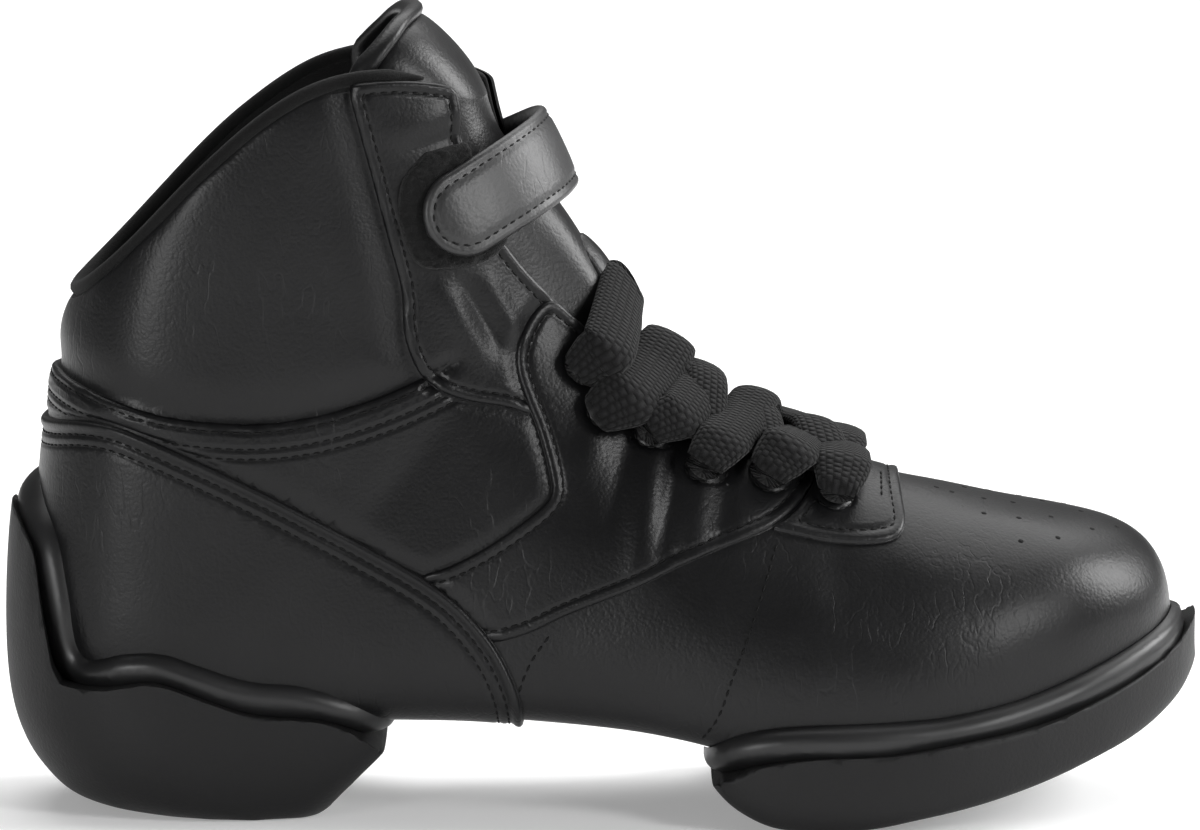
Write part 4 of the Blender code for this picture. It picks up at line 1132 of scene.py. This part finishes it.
def add_laces():
    """The laces, from the bar over the toe end of the throat up to the loop."""
    bed = lace_bed()
    bm = bmesh.new()
    uv = bm.loops.layers.uv.new("weave")
    lace_run(bm, uv, bed, eyelet(1, OUTER), eyelet(1, INNER), 0.0, 0.5)
    lace_run(bm, uv, bed, eyelet(1, INNER), eyelet(1, OUTER), 0.0, 0.5)
    for k in range(2, 6):
        fat = LACE_FAT[k]
        over, beneath = (2.6, 0.4) if k % 2 else (0.4, 2.6)  # they take turns on top
        lace_run(bm, uv, bed, eyelet(k, OUTER), eyelet(k - 1, INNER), over, fat=fat)
        lace_run(bm, uv, bed, eyelet(k, INNER), eyelet(k - 1, OUTER), beneath, fat=fat)
    top = Vector(LOOP_PLACE)
    lace_run(bm, uv, bed, eyelet(6, OUTER), eyelet(6, INNER), 0.3, 0.5, via=top)
    lace_run(bm, uv, bed, eyelet(6, INNER), eyelet(6, OUTER), 0.3, 0.5, via=top)
    return piece("woven_lace", bm, LACE_YARN, ["laces"])


add_laces()


def add_keeper():
    """The leather loop on the tongue that holds the top of the lacing."""
    line = []
    for z in np.linspace(KEEPER_TOP, KEEPER_FOOT, 25):
        hit, _, _, _ = tongue_tree.ray_cast(Vector((200.0, 0.0, z)), Vector((-1.0, 0.0, 0.0)))
        line.append((hit.x, z))
    bm = bmesh.new()
    rings = []
    for k, (x, z) in enumerate(line):
        t = k / (len(line) - 1)
        ahead, behind = line[min(k + 1, len(line) - 1)], line[max(k - 1, 0)]
        way = Vector((ahead[0] - behind[0], 0.0, ahead[1] - behind[1])).normalized()
        normal = Vector((-way.z, 0.0, way.x))
        lift = 0.1 + KEEPER_RISE * math.sin(math.pi * t) ** 0.7
        half = KEEPER_HALF * (0.86 + 0.14 * math.sin(math.pi * t))
        ring = []
        for v, h in ((-1, -0.3), (-1, 0.5), (-0.9, 0.9), (0, 1.0), (0.9, 0.9),
                     (1, 0.5), (1, -0.3), (0.9, -0.7), (0, -0.8), (-0.9, -0.7)):
            sag = 3.2 * v * v
            ring.append(bm.verts.new(Vector((x, v * half, z)) + normal * (lift + h - sag)))
        rings.append(ring)
    bm = subdivided(closed_tube(bm, rings), 2)
    return piece("lace_loop", bm, LEATHER_PANEL, ["lace_keeper"])


add_keeper()


# Collar and tongue edges


def evened(chain, pitch):
    """A chain of places at an even pitch, softened."""
    line = np.array([tuple(p) for p in chain])
    out = spaced(line, max(int(run_lengths(line)[-1] / pitch), 4))
    for _ in range(6):
        out[1:-1] = 0.25 * out[:-2] + 0.5 * out[1:-1] + 0.25 * out[2:]
    return [Vector(p) for p in out]


def add_collar_roll():
    """The lining rolled over the collar's edge."""
    rim = next(c for c in edge_loops(skin, lambda e: e.is_boundary) if max(v.co.z for v in c) > 140)
    rim = rim[:-1] if rim[0] is rim[-1] else rim
    tops = [max((v for v in rim if v.co.y * side > 3), key=lambda v: v.co.z + v.co.x * 0.15)
            for side in (OUTER, INNER)]
    i, j = sorted(rim.index(v) for v in tops)
    parts = [rim[i:j + 1], rim[j:] + rim[:i + 1]]
    collar = min(parts, key=lambda part: min(v.co.x for v in part))
    places = evened([v.co for v in collar], 1.6)
    middle = Vector((15.0, 0.0, 0.0))
    normals = []
    for p in places:
        normals.append((Vector((p.x, p.y, 0)) - middle).normalized())
    places = [p - n * 1.5 + Vector((0, 0, 0.5)) for p, n in zip(places, normals)]
    bm = bmesh.new()
    count = len(places)
    fade = [min(1.0, 0.25 + 0.75 * min(k, count - 1 - k) / 5) for k in range(count)]
    sweep(bm, places, normals, [3.4 * f for f in fade], [3.8 * f for f in fade], sides=14)
    return piece("collar_lining_roll", bm, LINING)


add_collar_roll()


def add_tongue_binding():
    """The folded leather binding round the tongue's free edge."""
    sheet = outside_sheet(merged("tongue"))
    loop = max(edge_loops(sheet, lambda e: e.is_boundary), key=len)
    loop = loop[:-1] if loop[0] is loop[-1] else loop
    low = min(range(len(loop)), key=lambda k: loop[k].co.z)
    loop = loop[low:] + loop[:low]
    chain = [v.co for v in loop if v.co.z > 112.0]
    places = evened(chain, 1.5)
    ahead = Vector((0.85, 0.0, 0.5))
    places = [p - ahead * 2.0 for p in places]
    bm = bmesh.new()
    sweep(bm, places, [ahead] * len(places), [3.4] * len(places), [5.2] * len(places), sides=16)
    sheet.free()
    return piece("tongue_binding", bm, LEATHER_TONGUE)


add_tongue_binding()


# Seams sewn on the vamp, and its pinholes


def raised(hits, lift):
    """(place, normal) pairs a little way off the upper, for the rays that met it."""
    found = [(hit, skin_normal(hit)) for hit in hits if hit]
    return [(hit + normal * lift, normal) for hit, normal in found]


def add_vamp_seams():
    """The seams sewn flat on the vamp, and two short rows on the tip."""
    rows = []
    for side in (OUTER, INNER):
        for seam in (VAMP_SEAM, SHANK_SEAM):
            rows.append(raised([from_side(x, z, side) for x, z in smooth_line(seam, 8)], 0.05))
    for x in (141.0, 145.6):
        rows.append(raised([from_above(x, y) for y in np.linspace(-19.0, -8.0, 14)], LEATHER))
    return add_stitches("vamp_stitching", rows, THREAD)


add_vamp_seams()


def add_pinholes():
    """Punched pinholes on the toe, each a small dark plug set into the leather; its near-black
    colour is painted shade standing in for the inside of the hole.
    """
    bm = bmesh.new()
    for x, y in PINHOLES:
        hit = from_above(x, y)
        n = skin_normal(hit)
        turn = n.to_track_quat("Z", "Y").to_matrix().to_4x4()
        bmesh.ops.create_cone(bm, cap_ends=True, segments=14, radius1=0.8, radius2=0.6, depth=0.5,
                              matrix=Matrix.Translation(hit - n * 0.17) @ turn)
    return piece("toe_pinholes_painted_shade", bm, PINHOLE_SHADE)


add_pinholes()


# Studio


def add_area(name, place, target, size, power):
    light = bpy.data.lights.new(name, "AREA")
    light.shape = "RECTANGLE"
    light.size, light.size_y = size
    light.energy = power
    obj = bpy.data.objects.new(name, light)
    obj.location = place
    obj.rotation_euler = (Vector(target) - Vector(place)).to_track_quat("-Z", "Y").to_euler()
    bpy.context.scene.collection.objects.link(obj)


def add_studio():
    bm = bmesh.new()
    bmesh.ops.create_circle(bm, cap_ends=True, segments=64, radius=14.0)
    mesh = bpy.data.meshes.new("studio_floor")
    bm.to_mesh(mesh)
    bm.free()
    floor = bpy.data.objects.new("studio_floor", mesh)
    bpy.context.scene.collection.objects.link(floor)
    material, _, shader = new_material("pale_floor", (0.86, 0.86, 0.86), 0.8)
    shader.inputs["Specular IOR Level"].default_value = 0.1
    shader.inputs["Emission Color"].default_value = (1, 1, 1, 1)
    shader.inputs["Emission Strength"].default_value = 0.25
    mesh.materials.append(material)
    world = bpy.data.worlds.new("studio")
    bpy.context.scene.world = world
    world.use_nodes = True
    world.node_tree.nodes["Background"].inputs["Color"].default_value = (1, 1, 1, 1)
    world.node_tree.nodes["Background"].inputs["Strength"].default_value = 0.15
    add_area("overhead", (0.2, 1.1, 1.9), (0.12, 0.5, 0.0), (2.3, 2.3), 47.0)
    add_area("right", (1.4, 0.3, 0.8), (0.14, 0, 0.07), (0.8, 0.9), 26.0)
    add_area("front_right", (1.25, -1.1, 0.7), (0.12, 0, 0.08), (0.45, 0.7), 14.0)
    add_area("front_left", (-1.15, -1.6, 0.35), (0.0, 0, 0.08), (0.4, 0.4), 12.0)
    bpy.context.scene.view_settings.view_transform = "Standard"


def add_camera():
    camera = bpy.data.cameras.new("photo_view")
    obj = bpy.data.objects.new("photo_view", camera)
    bpy.context.scene.collection.objects.link(obj)
    elevation = math.radians(8.5)
    distance = 2.5
    target = Vector((0.0843, 0.0, 0.0854))
    back = Vector((0.0, -math.cos(elevation), math.sin(elevation)))
    obj.location = target + back * distance
    obj.rotation_euler = (-back).to_track_quat("-Z", "Y").to_euler()
    camera.sensor_width = 36.0
    camera.lens = 36.0 * distance / 0.264
    camera.clip_start, camera.clip_end = 0.05, 60.0
    bpy.context.scene.camera = obj


add_studio()
add_camera()
